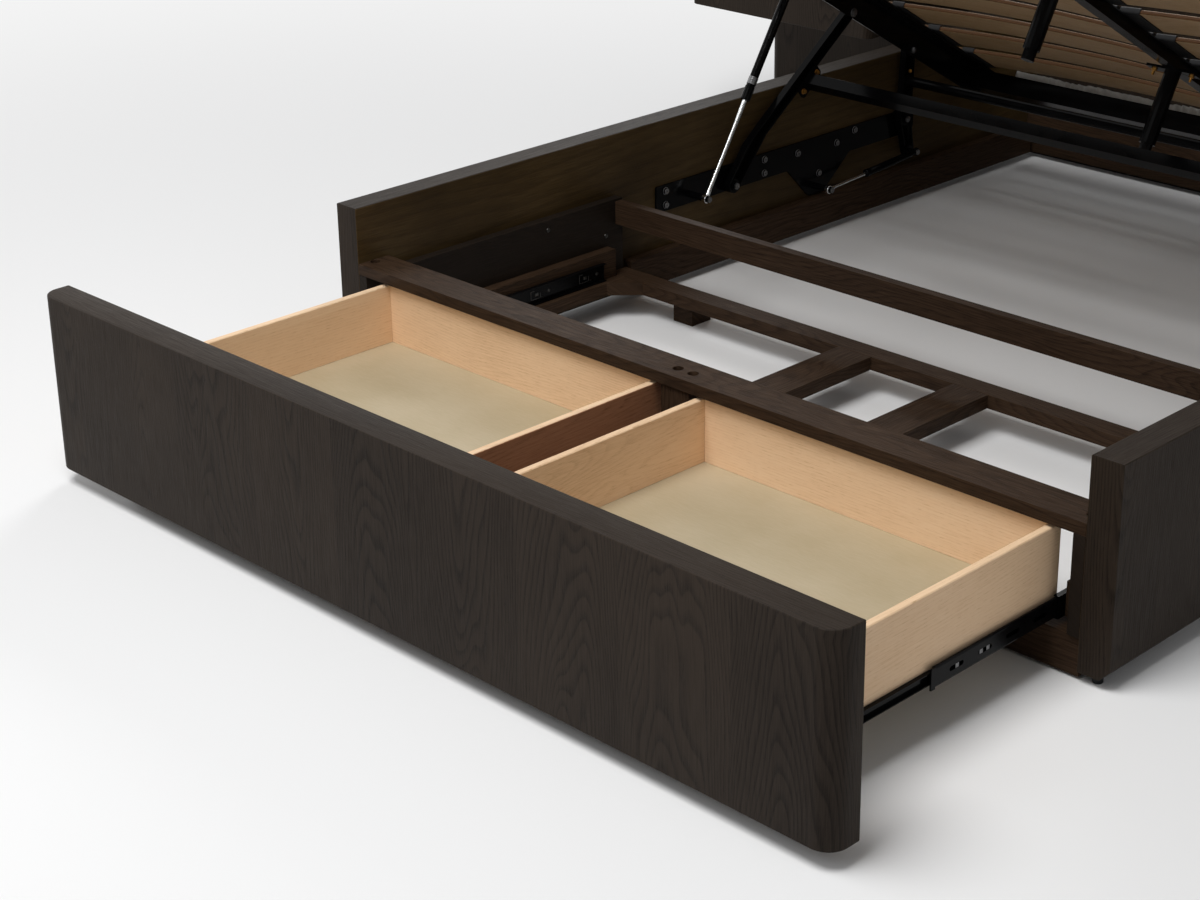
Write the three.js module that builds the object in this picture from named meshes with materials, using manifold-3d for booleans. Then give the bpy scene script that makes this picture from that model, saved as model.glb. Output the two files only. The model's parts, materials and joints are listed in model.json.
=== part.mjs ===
// Ottoman bed with a lift-up slatted platform, a two-box foot drawer and a wide headboard.
// Millimetres, +Z up. X runs across the bed, Y from the foot to the head, Z up from the floor.
// While the pieces are built, Y = 0 is the front end of the side rails; the last lines centre the bed.
// The bed is shown in use: the platform is up at its stop and the drawer is fully out.

import * as THREE from 'three';
import { mergeVertices } from 'three/addons/utils/BufferGeometryUtils.js';
import Module from 'manifold-3d';

const wasm = await Module();
wasm.setup();

// Driving dimensions

// Fits
const seat = 0.3;               // gap left between two pieces that are fastened face to face
const pinPlay = 0.5;            // radial clearance of a pin in its hole
const arris = 1.5;              // small chamfer on wooden edges

// Side rails
const mattressWidth = 1524;
const mattressPlay = 12;
const railThickness = 52;
const railLength = 2030;
const railLift = 15;            // floor to the underside of the side rails
const railTop = 342;
const railChamferHeight = 18;
const railChamferDepth = 16;

// Drawer bay
const bayTop = 220;             // floor to the underside of the front cross rail
const bayDepth = 637;
const bayBoardThickness = 20;
const frontCrossRailDepth = 68;
const frontCrossRailThickness = 20;
const rearCrossRailThickness = 20;
const rearCrossRailHeight = 46;
const rearCrossRailDrop = 4;    // top of the rear cross rail below the top of the bay boards
const dividerWidth = 60;
const dividerDepth = 40;
const screwSetback = 30;        // front edge of the front cross rail to its screws
const screwSpacing = 32;        // the two screws over the divider
const counterboreRadius = 9;
const counterboreDepth = 9;
const screwHoleRadius = 2.5;

// Base frame
const baseSetback = 5;          // base frame behind the front ends of the rails
const glideHeight = 5;
const glideRadius = 15;
const glideInset = 40;
const baseFrontRailHeight = 61;
const baseFrontRailDepth = 45;
const baseDeckTop = 75;
const baseDeckThickness = 25;
const midRailFront = 600;
const midRailDepth = 45;
const footBlockWidth = 50;
const footBlockDepth = 52;
const footBlockCentre = 585;
const footBlockOverhang = 43;
const baseMemberWidth = 42;
const baseMemberCorner = 49;    // diagonal corner where a side member meets the mid rail
const baseCrossMemberWidth = 75;
const baseCrossMemberCentre = 128;
const plinthHeight = 67;
const plinthThickness = 20;
const plinthStart = 660;
const plinthGap = 10;           // plinth board to the rail at the head of the base
const headRailHeight = 105;
const headRailThickness = 25;
const headRailSetback = 5;

// Drawer
const drawerTravel = 541;
const drawerFrontThickness = 55;
const drawerFrontHeight = 300;
const drawerFrontBottom = 28;
const drawerFrontOverhang = 12;
const drawerFrontRadius = 32;
const boxBottom = 86;
const boxHeight = 129;
const boxDepth = 566;
const boxWall = 13;
const boxGap = 88;              // between the two boxes, round the centre divider
const bottomPanelThickness = 8;
const bottomPanelRise = 14;
const grooveDepth = 6;

// Drawer slides
const cleatThickness = 23;
const cleatTop = 130;
const cleatStart = 28;
const cleatLength = 567;
const slideWidth = 12.7;
const slideSheet = 1.5;
const slideLength = 548;
const slideStart = 12;
const slideRise = 18;           // centre line of the slide above the base members
const channelHalfHeight = 17.5;
const middleHalfHeight = 12.5;
const innerHalfHeight = 9;
const middleWebOffset = 3;      // web of the middle member from the face of the cleat
const raceOffset = 6.2;         // centre of the ball races from the face of the cleat
const raceInset = 1;            // ball races from the ends of the middle member
const innerFlangeDepth = 6.9;
const endStopLength = 9;
const slideSlotLength = 30;
const slideSlotHeight = 7;
const slideSlotEnd = 46;
const slideSlotPitch = 62;
const channelSlots = 5;
const middleSlots = 4;

// Lift linkage, as points (Y, Z) on the inside of the side rails
const bracketThickness = 4.5;
const bracketStart = 748;
const bracketLength = 812;
const bracketBottom = 156;
const bracketHeight = 54;
const bracketFootRadius = 4;
const bracketHeadRadius = 18;
const bracketBoltInset = 12.5;  // bolts from the long edges of the strap
const bracketFootBolt = 26;     // first pair of bolts from the end of the strap
const armBoltAlong = 112;       // second pair of bolts headward of the arm pivot
const gussetOverlap = 6;
const gussetDrop = 18;          // lower edge of the gusset below the pin of the small strut
const gussetRadius = 14;
const gussetPoints = [-95, -20, 28, 120];
const gussetBolts = [[-57, 84], [12, 26], [69, 80], [128, 96]];
const armPivotY = 956;
const armPivotZ = 171;
const leverPivotZ = 197;
const strutFootY = 850;
const strutFootZ = 172;
const smallStrutFootY = 1230;
const smallStrutFootZ = 104;
const armLength = 465;
const armOpenAngle = THREE.MathUtils.degToRad(39.5);
const platformTilt = THREE.MathUtils.degToRad(30);
const closedPivotZ = 262;       // height of the platform's front pivot when the bed is shut
const platformPivotSpacing = 235;
const linkThickness = 15;
const linkRunning = 5.2;        // bracket face to the outer face of the links
const linkWall = 3;
const armKneeAlong = 129.5;
const armKneeRise = 20.3;
const armFootAlong = 78.7;
const armFootRise = 16.8;
const armEndRadius = 13;
const armKneeRadius = 13;
const armFootRadius = 18;
const armPivotRadius = 16;
const leverFootLength = 77;
const leverBend = THREE.MathUtils.degToRad(163.6);
const leverFootRadius = 14;
const leverPivotRadius = 18;
const leverHeadRadius = 16;
const pivotPinRadius = 6;
const pivotHeadRadius = 10;
const pivotHeadThickness = 3;
const boltHeadRadius = 7.5;
const boltHeadThickness = 4;
const frontTubeSize = 25;
const tubeWall = 2;
const frontTubeAlong = 283.6;
const frontTubeDrop = 8.2;
const tubeFlangeLength = 72;
const tubeFlangeWidth = 27;
const tubeFlangeThickness = 4;
const tubeFlangeRadius = 8;
const rearTubeRadius = 11;
const rearTubeAlong = 84;

// Gas struts
const strutCentre = 43;         // centre of the struts from the inner face of the side rail
const strutTopAlong = 234;      // top pin of the strut footward of the platform's front pivot
const strutTopRise = 12.7;
const strutRodRadius = 4.5;
const strutCylinderRadius = 9;
const strutGlandRadius = 10;
const strutGlandLength = 30;
const strutCylinderLength = 288;
const strutEngagement = 25;     // rod inside the cylinder at full reach
const strutBoreDepth = 210;
const smallRodRadius = 3.5;
const smallCylinderRadius = 8;
const smallGlandRadius = 8.6;
const smallGlandLength = 14;
const smallCylinderLength = 175;
const smallBoreDepth = 130;
const smallEngagement = 20;
const boreClearance = 0.4;
const glandBevel = 2;
const shoulderGap = 9;          // end of a cylinder below the rim of its eye
const shoulderBevel = 2;
const eyeRadius = 9;
const eyeThickness = 10;
const lapEyeThickness = 6;
const studRadius = 4;
const studShoulderRadius = 7;
const studHeadThickness = 3.5;

// Platform
const platformLength = 1930;
const platformFootInset = 8;    // foot end of the shut platform behind the front ends of the rails
const angleRise = 48;           // top of the side angle above the pivot line
const angleHeight = 60;
const angleWidth = 38.5;
const angleSheet = 3.5;
const linkToAngle = 1.5;        // inner face of the links to the side angle
const endMemberWidth = 40;
const headMemberHeight = 41;
const footMemberHeight = 50;
const memberWall = 2.5;
const beamWidth = 30;
const beamHeight = 22;
const legRadius = 16;
const footLegLength = 145;
const postLength = 165;
const legCapRadius = 12;
const legCapLength = 20;
const footLegAlong = 415;
const postAlong = 54;
const postPlateLength = 105;
const postPlateWidth = 30;
const postPlateThickness = 4;

// Slats
const slatWidth = 98;
const slatPitch = 138;
const slatEndGap = 5;
const slatThickness = 9;
const slatBow = 12;
const slatSteps = 6;
const slatInset = 4;            // end of a slat in from the edge of its holder
const holderThickness = 3.5;
const outerHolderWidth = 30;
const innerHolderWidth = 11;
const holderGap = 4;            // between the two inner holders, over the centre beam

// Cloth edge
const clothHeight = 17;
const clothThickness = 1.4;
const clothFoldPitch = 64;
const clothFoldDepth = 4.5;
const clothSetback = 9;
const clothEndGap = 60;
const clothStepsPerFold = 8;
const clothSwingShare = 0.25;   // part of the fold depth that comes and goes along the edge
const clothSwingLength = 61;
const clothFootShare = 0.6;     // swing at the foot of the cloth against its top
const clothLean = 0.5;          // phase of the top edge ahead of the foot
const clothHeightShare = 0.15;  // part of the height that comes and goes along the edge
const clothHeightLength = 83;

// Headboard and bedside boxes
const headboardThickness = 40;
const headboardHeight = 1080;
const headboardMargin = 81;
const headboardRadius = 32;
const bedsideGap = 150;
const bedsideWidth = 554;
const bedsideDepth = 380;
const bedsideBottom = 308;
const bedsideHeight = 203;
const bedsideRadius = 20;

// Levels and lines worked out from the driving dimensions

const innerHalf = (mattressWidth + mattressPlay) / 2;
const bayInner = innerHalf - seat - bayBoardThickness;
const cleatFace = bayInner - seat - cleatThickness;
const boxOuter = cleatFace - slideWidth;
const boxInner = boxGap / 2;
const baseFrontRailTop = glideHeight + baseFrontRailHeight;
const baseFront = baseSetback;
const baseFrontRailBack = baseFront + baseFrontRailDepth;
const slideLevel = baseDeckTop + slideRise;
const linkOuter = innerHalf - seat - bracketThickness - linkRunning;
const linkInner = linkOuter - linkThickness;
const angleOuter = linkInner - linkToAngle;
const angleInner = angleOuter - angleSheet;
const strutX = innerHalf - strutCentre;
const memberTop = angleRise - angleSheet - seat;
const headboardFront = railLength + seat;
const headboardBack = headboardFront + headboardThickness;
const bedsideInner = innerHalf + railThickness + bedsideGap;
const headboardHalf = bedsideInner + bedsideWidth + headboardMargin;

// Materials

function finish(color, roughness, metalness = 0) {
  return new THREE.MeshStandardMaterial({ color, roughness, metalness });
}

const finishes = {
  darkOak: () => finish(0x2e2521, 0.55),
  bayWood: () => finish(0x3a2a22, 0.6),
  maple: () => finish(0xd8b68c, 0.5),
  panel: () => finish(0xc4b491, 0.6),
  beech: () => finish(0xc49a67, 0.5),
  blackSteel: () => finish(0x17181a, 0.45, 0.3),
  chrome: () => finish(0xd0d2d4, 0.15, 1),
  cloth: () => finish(0xe9e7e2, 0.95),
};

function piece(name, geometry, material) {
  const mesh = new THREE.Mesh(geometry, material());
  mesh.name = name;
  return mesh;
}

// Shapes and solids

const arcSteps = 6;
const roundSides = 16;
const smallSides = 12;
const boltSides = 6;
const weldDistance = 1e-4;
const sides = [{ name: 'left', sign: -1 }, { name: 'right', sign: 1 }];

function outline(points) {
  return new THREE.Shape(points.map(([a, b]) => new THREE.Vector2(a, b)));
}

function rectangle(a0, a1, b0, b1) {
  return outline([[a0, b0], [a1, b0], [a1, b1], [a0, b1]]);
}

// Polygon whose corners are rounded: each point is [a, b, radius].
function roundedOutline(points) {
  const shape = new THREE.Shape();
  points.forEach(([a, b, radius], index) => {
    const corner = new THREE.Vector2(a, b);
    const before = points[(index + points.length - 1) % points.length];
    const after = points[(index + 1) % points.length];
    const towardsBefore = new THREE.Vector2(before[0], before[1]).sub(corner).normalize();
    const towardsAfter = new THREE.Vector2(after[0], after[1]).sub(corner).normalize();
    const halfAngle = Math.acos(towardsBefore.dot(towardsAfter)) / 2;
    const reach = radius / Math.tan(halfAngle);
    const start = corner.clone().addScaledVector(towardsBefore, reach);
    const end = corner.clone().addScaledVector(towardsAfter, reach);
    if (index === 0) shape.moveTo(start.x, start.y);
    else shape.lineTo(start.x, start.y);
    if (radius > 0) shape.quadraticCurveTo(corner.x, corner.y, end.x, end.y);
  });
  shape.closePath();
  return shape;
}

// Outline of a link: a chain of circles [a, b, radius] joined by straight sides, round at both ends.
function linkOutline(circles) {
  const centres = circles.map(([a, b]) => new THREE.Vector2(a, b));
  const last = circles.length - 1;
  const left = [];
  const right = [];
  centres.forEach((centre, index) => {
    const from = centres[Math.max(index - 1, 0)];
    const to = centres[Math.min(index + 1, last)];
    const along = to.clone().sub(from).normalize();
    const normal = new THREE.Vector2(-along.y, along.x);
    left.push(centre.clone().addScaledVector(normal, circles[index][2]));
    right.push(centre.clone().addScaledVector(normal, -circles[index][2]));
  });
  const shape = new THREE.Shape();
  const roundEnd = (index, from) => {
    const start = from.clone().sub(centres[index]).angle();
    shape.absarc(centres[index].x, centres[index].y, circles[index][2], start, start - Math.PI, true);
  };
  shape.moveTo(left[0].x, left[0].y);
  left.slice(1).forEach((point) => shape.lineTo(point.x, point.y));
  roundEnd(last, left[last]);
  right.slice(0, last).reverse().forEach((point) => shape.lineTo(point.x, point.y));
  roundEnd(0, right[0]);
  return shape;
}

function extrude(shape, depth) {
  return new THREE.ExtrudeGeometry(shape, { depth, bevelEnabled: false, curveSegments: arcSteps });
}

const axisX = new THREE.Vector3(1, 0, 0);
const axisY = new THREE.Vector3(0, 1, 0);
const axisZ = new THREE.Vector3(0, 0, 1);

// Prism along X of an outline in (Y, Z).
function prismX(shape, x0, x1) {
  const geometry = extrude(shape, Math.abs(x1 - x0));
  geometry.applyMatrix4(new THREE.Matrix4().makeBasis(axisY, axisZ, axisX));
  geometry.translate(Math.min(x0, x1), 0, 0);
  return geometry;
}

// Prism along Y of an outline in (X, Z).
function prismY(shape, y0, y1) {
  const geometry = extrude(shape, y1 - y0);
  geometry.applyMatrix4(new THREE.Matrix4().makeBasis(axisX, axisZ, axisY.clone().negate()));
  geometry.translate(0, y1, 0);
  return geometry;
}

// Prism along Z of an outline in (X, Y).
function prismZ(shape, z0, z1) {
  const geometry = extrude(shape, z1 - z0);
  geometry.translate(0, 0, z0);
  return geometry;
}

function block(x0, x1, y0, y1, z0, z1) {
  const geometry = new THREE.BoxGeometry(Math.abs(x1 - x0), y1 - y0, z1 - z0);
  geometry.translate((x0 + x1) / 2, (y0 + y1) / 2, (z0 + z1) / 2);
  return geometry;
}

// Round bar along X at the point (y, z).
function barX(radius, x0, x1, y, z, count = roundSides) {
  const geometry = new THREE.CylinderGeometry(radius, radius, Math.abs(x1 - x0), count);
  geometry.rotateZ(Math.PI / 2);
  geometry.translate((x0 + x1) / 2, y, z);
  return geometry;
}

// Round bar along Z from z0 to z1.
function barZ(radius, x, y, z0, z1, count = roundSides) {
  const geometry = new THREE.CylinderGeometry(radius, radius, z1 - z0, count);
  geometry.rotateX(Math.PI / 2);
  geometry.translate(x, y, (z0 + z1) / 2);
  return geometry;
}

// Round body along Y: the profile is a list of [radius, y].
function turnedY(profile, x, count = roundSides) {
  const geometry = new THREE.LatheGeometry(profile.map(([r, y]) => new THREE.Vector2(r, y)), count);
  geometry.translate(x, 0, 0);
  return geometry;
}

function solidOf(geometry) {
  const bare = geometry.clone();
  bare.deleteAttribute('normal');
  bare.deleteAttribute('uv');
  const welded = mergeVertices(bare, weldDistance);
  return new wasm.Manifold(new wasm.Mesh({
    numProp: 3,
    vertProperties: new Float32Array(welded.attributes.position.array),
    triVerts: new Uint32Array(welded.index.array),
  }));
}

function geometryOf(solid) {
  const mesh = solid.getMesh();
  const geometry = new THREE.BufferGeometry();
  geometry.setAttribute('position', new THREE.BufferAttribute(mesh.vertProperties.slice(), 3));
  geometry.setIndex(new THREE.BufferAttribute(mesh.triVerts.slice(), 1));
  geometry.computeVertexNormals();
  return geometry;
}

function join(first, ...others) {
  return geometryOf(others.reduce((sum, other) => sum.add(solidOf(other)), solidOf(first)));
}

function cut(first, ...tools) {
  return geometryOf(tools.reduce((rest, tool) => rest.subtract(solidOf(tool)), solidOf(first)));
}

// Linkage geometry in the (Y, Z) plane

function pointOn(pivot, length, angle) {
  return new THREE.Vector2(pivot.x + length * Math.cos(angle), pivot.y + length * Math.sin(angle));
}

const armPivot = new THREE.Vector2(armPivotY, armPivotZ);
const platformPivot = pointOn(armPivot, armLength, armOpenAngle);
const armShutAngle = Math.asin((closedPivotZ - armPivotZ) / armLength);
const shutPivot = pointOn(armPivot, armLength, armShutAngle);
const leverTop = pointOn(platformPivot, platformPivotSpacing, -platformTilt);
const shutLeverTop = pointOn(shutPivot, platformPivotSpacing, 0);

// The lever turns about the point at its height that is equally far from both ends of its stroke.
function leverPivotPoint() {
  const middle = leverTop.clone().add(shutLeverTop).multiplyScalar(0.5);
  const stroke = shutLeverTop.clone().sub(leverTop);
  return new THREE.Vector2(middle.x - (leverPivotZ - middle.y) * stroke.y / stroke.x, leverPivotZ);
}

const leverPivot = leverPivotPoint();
const leverLength = leverTop.distanceTo(leverPivot);
const leverOpenAngle = leverTop.clone().sub(leverPivot).angle();
const leverFoot = pointOn(leverPivot, leverFootLength, leverOpenAngle - leverBend);
const strutFoot = new THREE.Vector2(strutFootY, strutFootZ);
const strutTop = new THREE.Vector2(-strutTopAlong, strutTopRise)
  .rotateAround(new THREE.Vector2(), -platformTilt).add(platformPivot);
const smallStrutFoot = new THREE.Vector2(smallStrutFootY, smallStrutFootZ);

// Side rails, headboard and bedside boxes

function sideRail({ name, sign }) {
  const inner = innerHalf;
  const outer = innerHalf + railThickness;
  const profile = [
    [inner, railLift],
    [outer - railChamferDepth, railLift],
    [outer, railLift + railChamferHeight],
    [outer, railTop - arris],
    [outer - arris, railTop],
    [inner + arris, railTop],
    [inner, railTop - arris],
  ];
  const shape = outline(profile.map(([x, z]) => [sign * x, z]));
  return piece(`${name}_side_rail`, prismY(shape, 0, railLength), finishes.darkOak);
}

function headboardPanel() {
  const shape = roundedOutline([
    [-headboardHalf, headboardBack, arris],
    [-headboardHalf, headboardFront, headboardRadius],
    [headboardHalf, headboardFront, headboardRadius],
    [headboardHalf, headboardBack, arris],
  ]);
  return piece('headboard_panel', prismZ(shape, 0, headboardHeight), finishes.darkOak);
}

function bedsideBox({ name, sign }) {
  const back = headboardFront - seat;
  const front = back - bedsideDepth;
  const shape = roundedOutline([
    [sign * bedsideInner, back, arris],
    [sign * bedsideInner, front, bedsideRadius],
    [sign * (bedsideInner + bedsideWidth), front, bedsideRadius],
    [sign * (bedsideInner + bedsideWidth), back, arris],
  ]);
  const geometry = prismZ(shape, bedsideBottom, bedsideBottom + bedsideHeight);
  return piece(`${name}_bedside_box`, geometry, finishes.darkOak);
}

// Drawer bay

function counterbore(x) {
  const top = bayTop + seat + frontCrossRailThickness;
  const through = barZ(screwHoleRadius, x, screwSetback, bayTop - 1, top + 1, smallSides);
  const recess = barZ(counterboreRadius, x, screwSetback, top - counterboreDepth, top + 1, smallSides);
  return join(through, recess);
}

function frontCrossRail() {
  const half = innerHalf - seat;
  const bottom = bayTop + seat;
  const board = block(-half, half, 0, frontCrossRailDepth, bottom, bottom + frontCrossRailThickness);
  const endScrew = innerHalf - bayBoardThickness / 2;
  const places = [-endScrew, -screwSpacing / 2, screwSpacing / 2, endScrew];
  return piece('front_cross_rail', cut(board, ...places.map(counterbore)), finishes.bayWood);
}

function bayBoard({ name, sign }) {
  const bottom = baseFrontRailTop + seat;
  const geometry = block(sign * bayInner, sign * (innerHalf - seat), 0, bayDepth, bottom, bayTop);
  return piece(`${name}_bay_board`, geometry, finishes.bayWood);
}

function rearCrossRail() {
  const half = bayInner - seat;
  const top = bayTop - rearCrossRailDrop;
  const front = bayDepth - rearCrossRailThickness;
  const geometry = block(-half, half, front, bayDepth, top - rearCrossRailHeight, top);
  return piece('rear_cross_rail', geometry, finishes.bayWood);
}

function centreDivider() {
  const half = dividerWidth / 2;
  const back = baseFront + dividerDepth;
  const shape = roundedOutline([
    [-half, baseFront, arris],
    [half, baseFront, arris],
    [half, back, arris],
    [-half, back, arris],
  ]);
  return piece('centre_divider', prismZ(shape, baseFrontRailTop + seat, bayTop), finishes.bayWood);
}

function slideCleat({ name, sign }) {
  const bottom = baseDeckTop + seat;
  const outer = bayInner - seat;
  const back = cleatStart + cleatLength;
  const geometry = block(sign * cleatFace, sign * outer, cleatStart, back, bottom, cleatTop);
  return piece(`${name}_slide_cleat`, geometry, finishes.bayWood);
}

// Base frame

function baseFrontRail() {
  const half = innerHalf - seat;
  const rail = block(-half, half, baseFront, baseFrontRailBack, glideHeight, baseFrontRailTop);
  const middle = (baseFront + baseFrontRailBack) / 2;
  const glides = sides.map(({ sign }) => (
    barZ(glideRadius, sign * (half - glideInset), middle, 0, glideHeight + 1)
  ));
  return piece('base_front_rail', join(rail, ...glides), finishes.bayWood);
}

function baseMidRail() {
  const half = bayInner - seat;
  const bottom = baseDeckTop - baseDeckThickness;
  const back = midRailFront + midRailDepth;
  const rail = block(-half, half, midRailFront, back, bottom, baseDeckTop);
  const blockBack = back + footBlockOverhang;
  const feet = sides.map(({ sign }) => {
    const inner = footBlockCentre - footBlockWidth / 2;
    const outer = footBlockCentre + footBlockWidth / 2;
    return block(sign * inner, sign * outer, blockBack - footBlockDepth, blockBack, 0, bottom + 1);
  });
  return piece('base_mid_rail', join(rail, ...feet), finishes.bayWood);
}

function baseMember({ name, sign }) {
  const outer = bayInner - seat;
  const inner = outer - baseMemberWidth;
  const front = baseFrontRailBack + seat;
  const back = midRailFront - seat;
  const corners = [
    [outer, front],
    [inner, front],
    [inner, back - baseMemberCorner],
    [inner - baseMemberCorner, back],
    [outer, back],
  ];
  const shape = outline(corners.map(([x, y]) => [sign * x, y]));
  const geometry = prismZ(shape, baseDeckTop - baseDeckThickness, baseDeckTop);
  return piece(`${name}_base_member`, geometry, finishes.bayWood);
}

function baseCrossMember({ name, sign }) {
  const inner = baseCrossMemberCentre - baseCrossMemberWidth / 2;
  const outer = baseCrossMemberCentre + baseCrossMemberWidth / 2;
  const front = baseFrontRailBack + seat;
  const back = midRailFront - seat;
  const bottom = baseDeckTop - baseDeckThickness;
  const geometry = block(sign * inner, sign * outer, front, back, bottom, baseDeckTop);
  return piece(`${name}_base_cross_member`, geometry, finishes.bayWood);
}

function plinthBoard({ name, sign }) {
  const outer = innerHalf - seat;
  const inner = outer - plinthThickness;
  const back = railLength - headRailSetback - headRailThickness - plinthGap;
  const geometry = block(sign * inner, sign * outer, plinthStart, back, railLift, railLift + plinthHeight);
  return piece(`${name}_plinth_board`, geometry, finishes.bayWood);
}

function baseHeadRail() {
  const half = innerHalf - seat;
  const back = railLength - headRailSetback;
  const geometry = block(-half, half, back - headRailThickness, back, railLift, railLift + headRailHeight);
  return piece('base_head_rail', geometry, finishes.bayWood);
}

// Drawer, in the place that it has when it is shut

function drawerFront() {
  const half = innerHalf + railThickness + drawerFrontOverhang;
  const shape = roundedOutline([
    [-half, 0, 0],
    [-half, -drawerFrontThickness, drawerFrontRadius],
    [half, -drawerFrontThickness, drawerFrontRadius],
    [half, 0, 0],
  ]);
  const geometry = new THREE.ExtrudeGeometry(shape, {
    depth: drawerFrontHeight - 2 * arris,
    bevelEnabled: true,
    bevelThickness: arris,
    bevelSize: arris,
    bevelOffset: -arris,
    bevelSegments: 1,
    curveSegments: arcSteps,
  });
  geometry.translate(0, 0, drawerFrontBottom + arris);
  return piece('drawer_front', geometry, finishes.darkOak);
}

// Section of a box wall: inside face at 0, thickness outwards, with the groove for the bottom panel.
function boxWallSection() {
  const bottom = boxBottom;
  const top = boxBottom + boxHeight;
  const grooveBottom = bottom + bottomPanelRise;
  const grooveTop = grooveBottom + bottomPanelThickness + 2 * seat;
  return [
    [0, bottom],
    [boxWall, bottom],
    [boxWall, top - arris],
    [boxWall - arris, top],
    [arris, top],
    [0, top - arris],
    [0, grooveTop],
    [grooveDepth, grooveTop],
    [grooveDepth, grooveBottom],
    [0, grooveBottom],
  ];
}

function drawerBox({ name, sign }) {
  const front = seat;
  const back = boxDepth;
  const outerFace = boxOuter - boxWall;
  const innerFace = boxInner + boxWall;
  const section = boxWallSection();
  const sideWall = (face, direction) => {
    const shape = outline(section.map(([out, z]) => [sign * (face + direction * out), z]));
    return prismY(shape, front, back);
  };
  const endWall = (face, direction) => {
    const shape = outline(section.map(([out, z]) => [face + direction * out, z]));
    return prismX(shape, sign * (innerFace + seat), sign * (outerFace - seat));
  };
  const reach = grooveDepth - seat;
  const panelBottom = boxBottom + bottomPanelRise + seat;
  const panel = block(
    sign * (innerFace - reach),
    sign * (outerFace + reach),
    front + boxWall - reach,
    back - boxWall + reach,
    panelBottom,
    panelBottom + bottomPanelThickness,
  );
  return [
    piece(`${name}_box_outer_side`, sideWall(outerFace, 1), finishes.maple),
    piece(`${name}_box_inner_side`, sideWall(innerFace, -1), finishes.maple),
    piece(`${name}_box_back`, endWall(back - boxWall, 1), finishes.maple),
    piece(`${name}_box_front`, endWall(front + boxWall, -1), finishes.maple),
    piece(`${name}_box_bottom`, panel, finishes.panel),
  ];
}

// Telescopic slides: sections give the distance from the cleat and the height from the slide's centre

function slideMember(section, sign, y0, y1) {
  return prismY(outline(section.map(([out, z]) => [sign * (cleatFace - out), slideLevel + z])), y0, y1);
}

function channelSection(web, tip, halfHeight) {
  const step = Math.sign(tip - web) * slideSheet;
  return [
    [web, -halfHeight],
    [tip, -halfHeight],
    [tip, slideSheet - halfHeight],
    [web + step, slideSheet - halfHeight],
    [web + step, halfHeight - slideSheet],
    [tip, halfHeight - slideSheet],
    [tip, halfHeight],
    [web, halfHeight],
  ];
}

// Slots pressed through the web of a slide member.
function webSlots(web, sign, y0, count) {
  const half = slideSlotLength / 2;
  const round = slideSlotHeight / 2;
  return Array.from({ length: count }, (unused, index) => {
    const centre = y0 + slideSlotEnd + index * slideSlotPitch;
    const shape = linkOutline([
      [centre - half + round, slideLevel, round],
      [centre + half - round, slideLevel, round],
    ]);
    return prismX(shape, sign * (cleatFace - web + 1), sign * (cleatFace - web - slideSheet - 1));
  });
}

function slideChannel({ name, sign }) {
  const section = channelSection(seat, raceOffset + middleWebOffset, channelHalfHeight);
  const channel = slideMember(section, sign, slideStart, slideStart + slideLength);
  const slots = webSlots(seat, sign, slideStart, channelSlots);
  return piece(`${name}_slide_channel`, cut(channel, ...slots), finishes.blackSteel);
}

function slideMiddle({ name, sign }) {
  const end = slideStart + slideLength;
  const tip = raceOffset + middleWebOffset;
  const section = channelSection(middleWebOffset, tip, middleHalfHeight);
  const channel = slideMember(section, sign, slideStart, end);
  const raceCentre = (channelHalfHeight - slideSheet + innerHalfHeight) / 2;
  const raceRadius = (channelHalfHeight - slideSheet - innerHalfHeight) / 2 - seat;
  const races = [-1, 1].map((up) => {
    const length = slideLength - 2 * raceInset;
    const race = new THREE.CylinderGeometry(raceRadius, raceRadius, length, smallSides);
    race.translate(sign * (cleatFace - raceOffset), (slideStart + end) / 2, slideLevel + up * raceCentre);
    return race;
  });
  const stopTop = channelHalfHeight - slideSheet;
  const stop = slideMember([
    [seat + slideSheet, -stopTop],
    [middleWebOffset + slideSheet, -stopTop],
    [middleWebOffset + slideSheet, stopTop],
    [seat + slideSheet, stopTop],
  ], sign, slideStart - endStopLength, slideStart - seat);
  const tongue = slideMember([
    [middleWebOffset, -innerHalfHeight],
    [middleWebOffset + slideSheet, -innerHalfHeight],
    [middleWebOffset + slideSheet, innerHalfHeight],
    [middleWebOffset, innerHalfHeight],
  ], sign, slideStart - 1, slideStart + 1);
  const slotted = cut(channel, ...webSlots(middleWebOffset, sign, slideStart, middleSlots));
  return piece(`${name}_slide_middle`, join(slotted, ...races, stop, tongue), finishes.blackSteel);
}

function slideInner({ name, sign }) {
  const web = slideWidth - seat;
  const section = channelSection(web, web - innerFlangeDepth, innerHalfHeight);
  const geometry = slideMember(section, sign, slideStart - endStopLength, slideStart + slideLength);
  return piece(`${name}_slide_inner`, geometry, finishes.blackSteel);
}

// Lift brackets: a strap on the side rail with bolts, pivot studs and a gusset for the small strut

function bracketBolt(sign, [y, z]) {
  const face = innerHalf - seat - bracketThickness;
  return barX(boltHeadRadius, sign * (face - boltHeadThickness), sign * (face + 1), y, z, boltSides);
}

// Stud that carries a link: spacer, pin through the link and a head beyond it.
function linkStud(sign, y, z) {
  const face = innerHalf - seat - bracketThickness;
  const end = linkInner - seat;
  return [
    barX(pivotHeadRadius, sign * (linkOuter + seat), sign * (face + 1), y, z),
    barX(pivotPinRadius, sign * (end - 1), sign * (face + 1), y, z),
    barX(pivotHeadRadius, sign * (end - pivotHeadThickness), sign * end, y, z),
  ];
}

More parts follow.
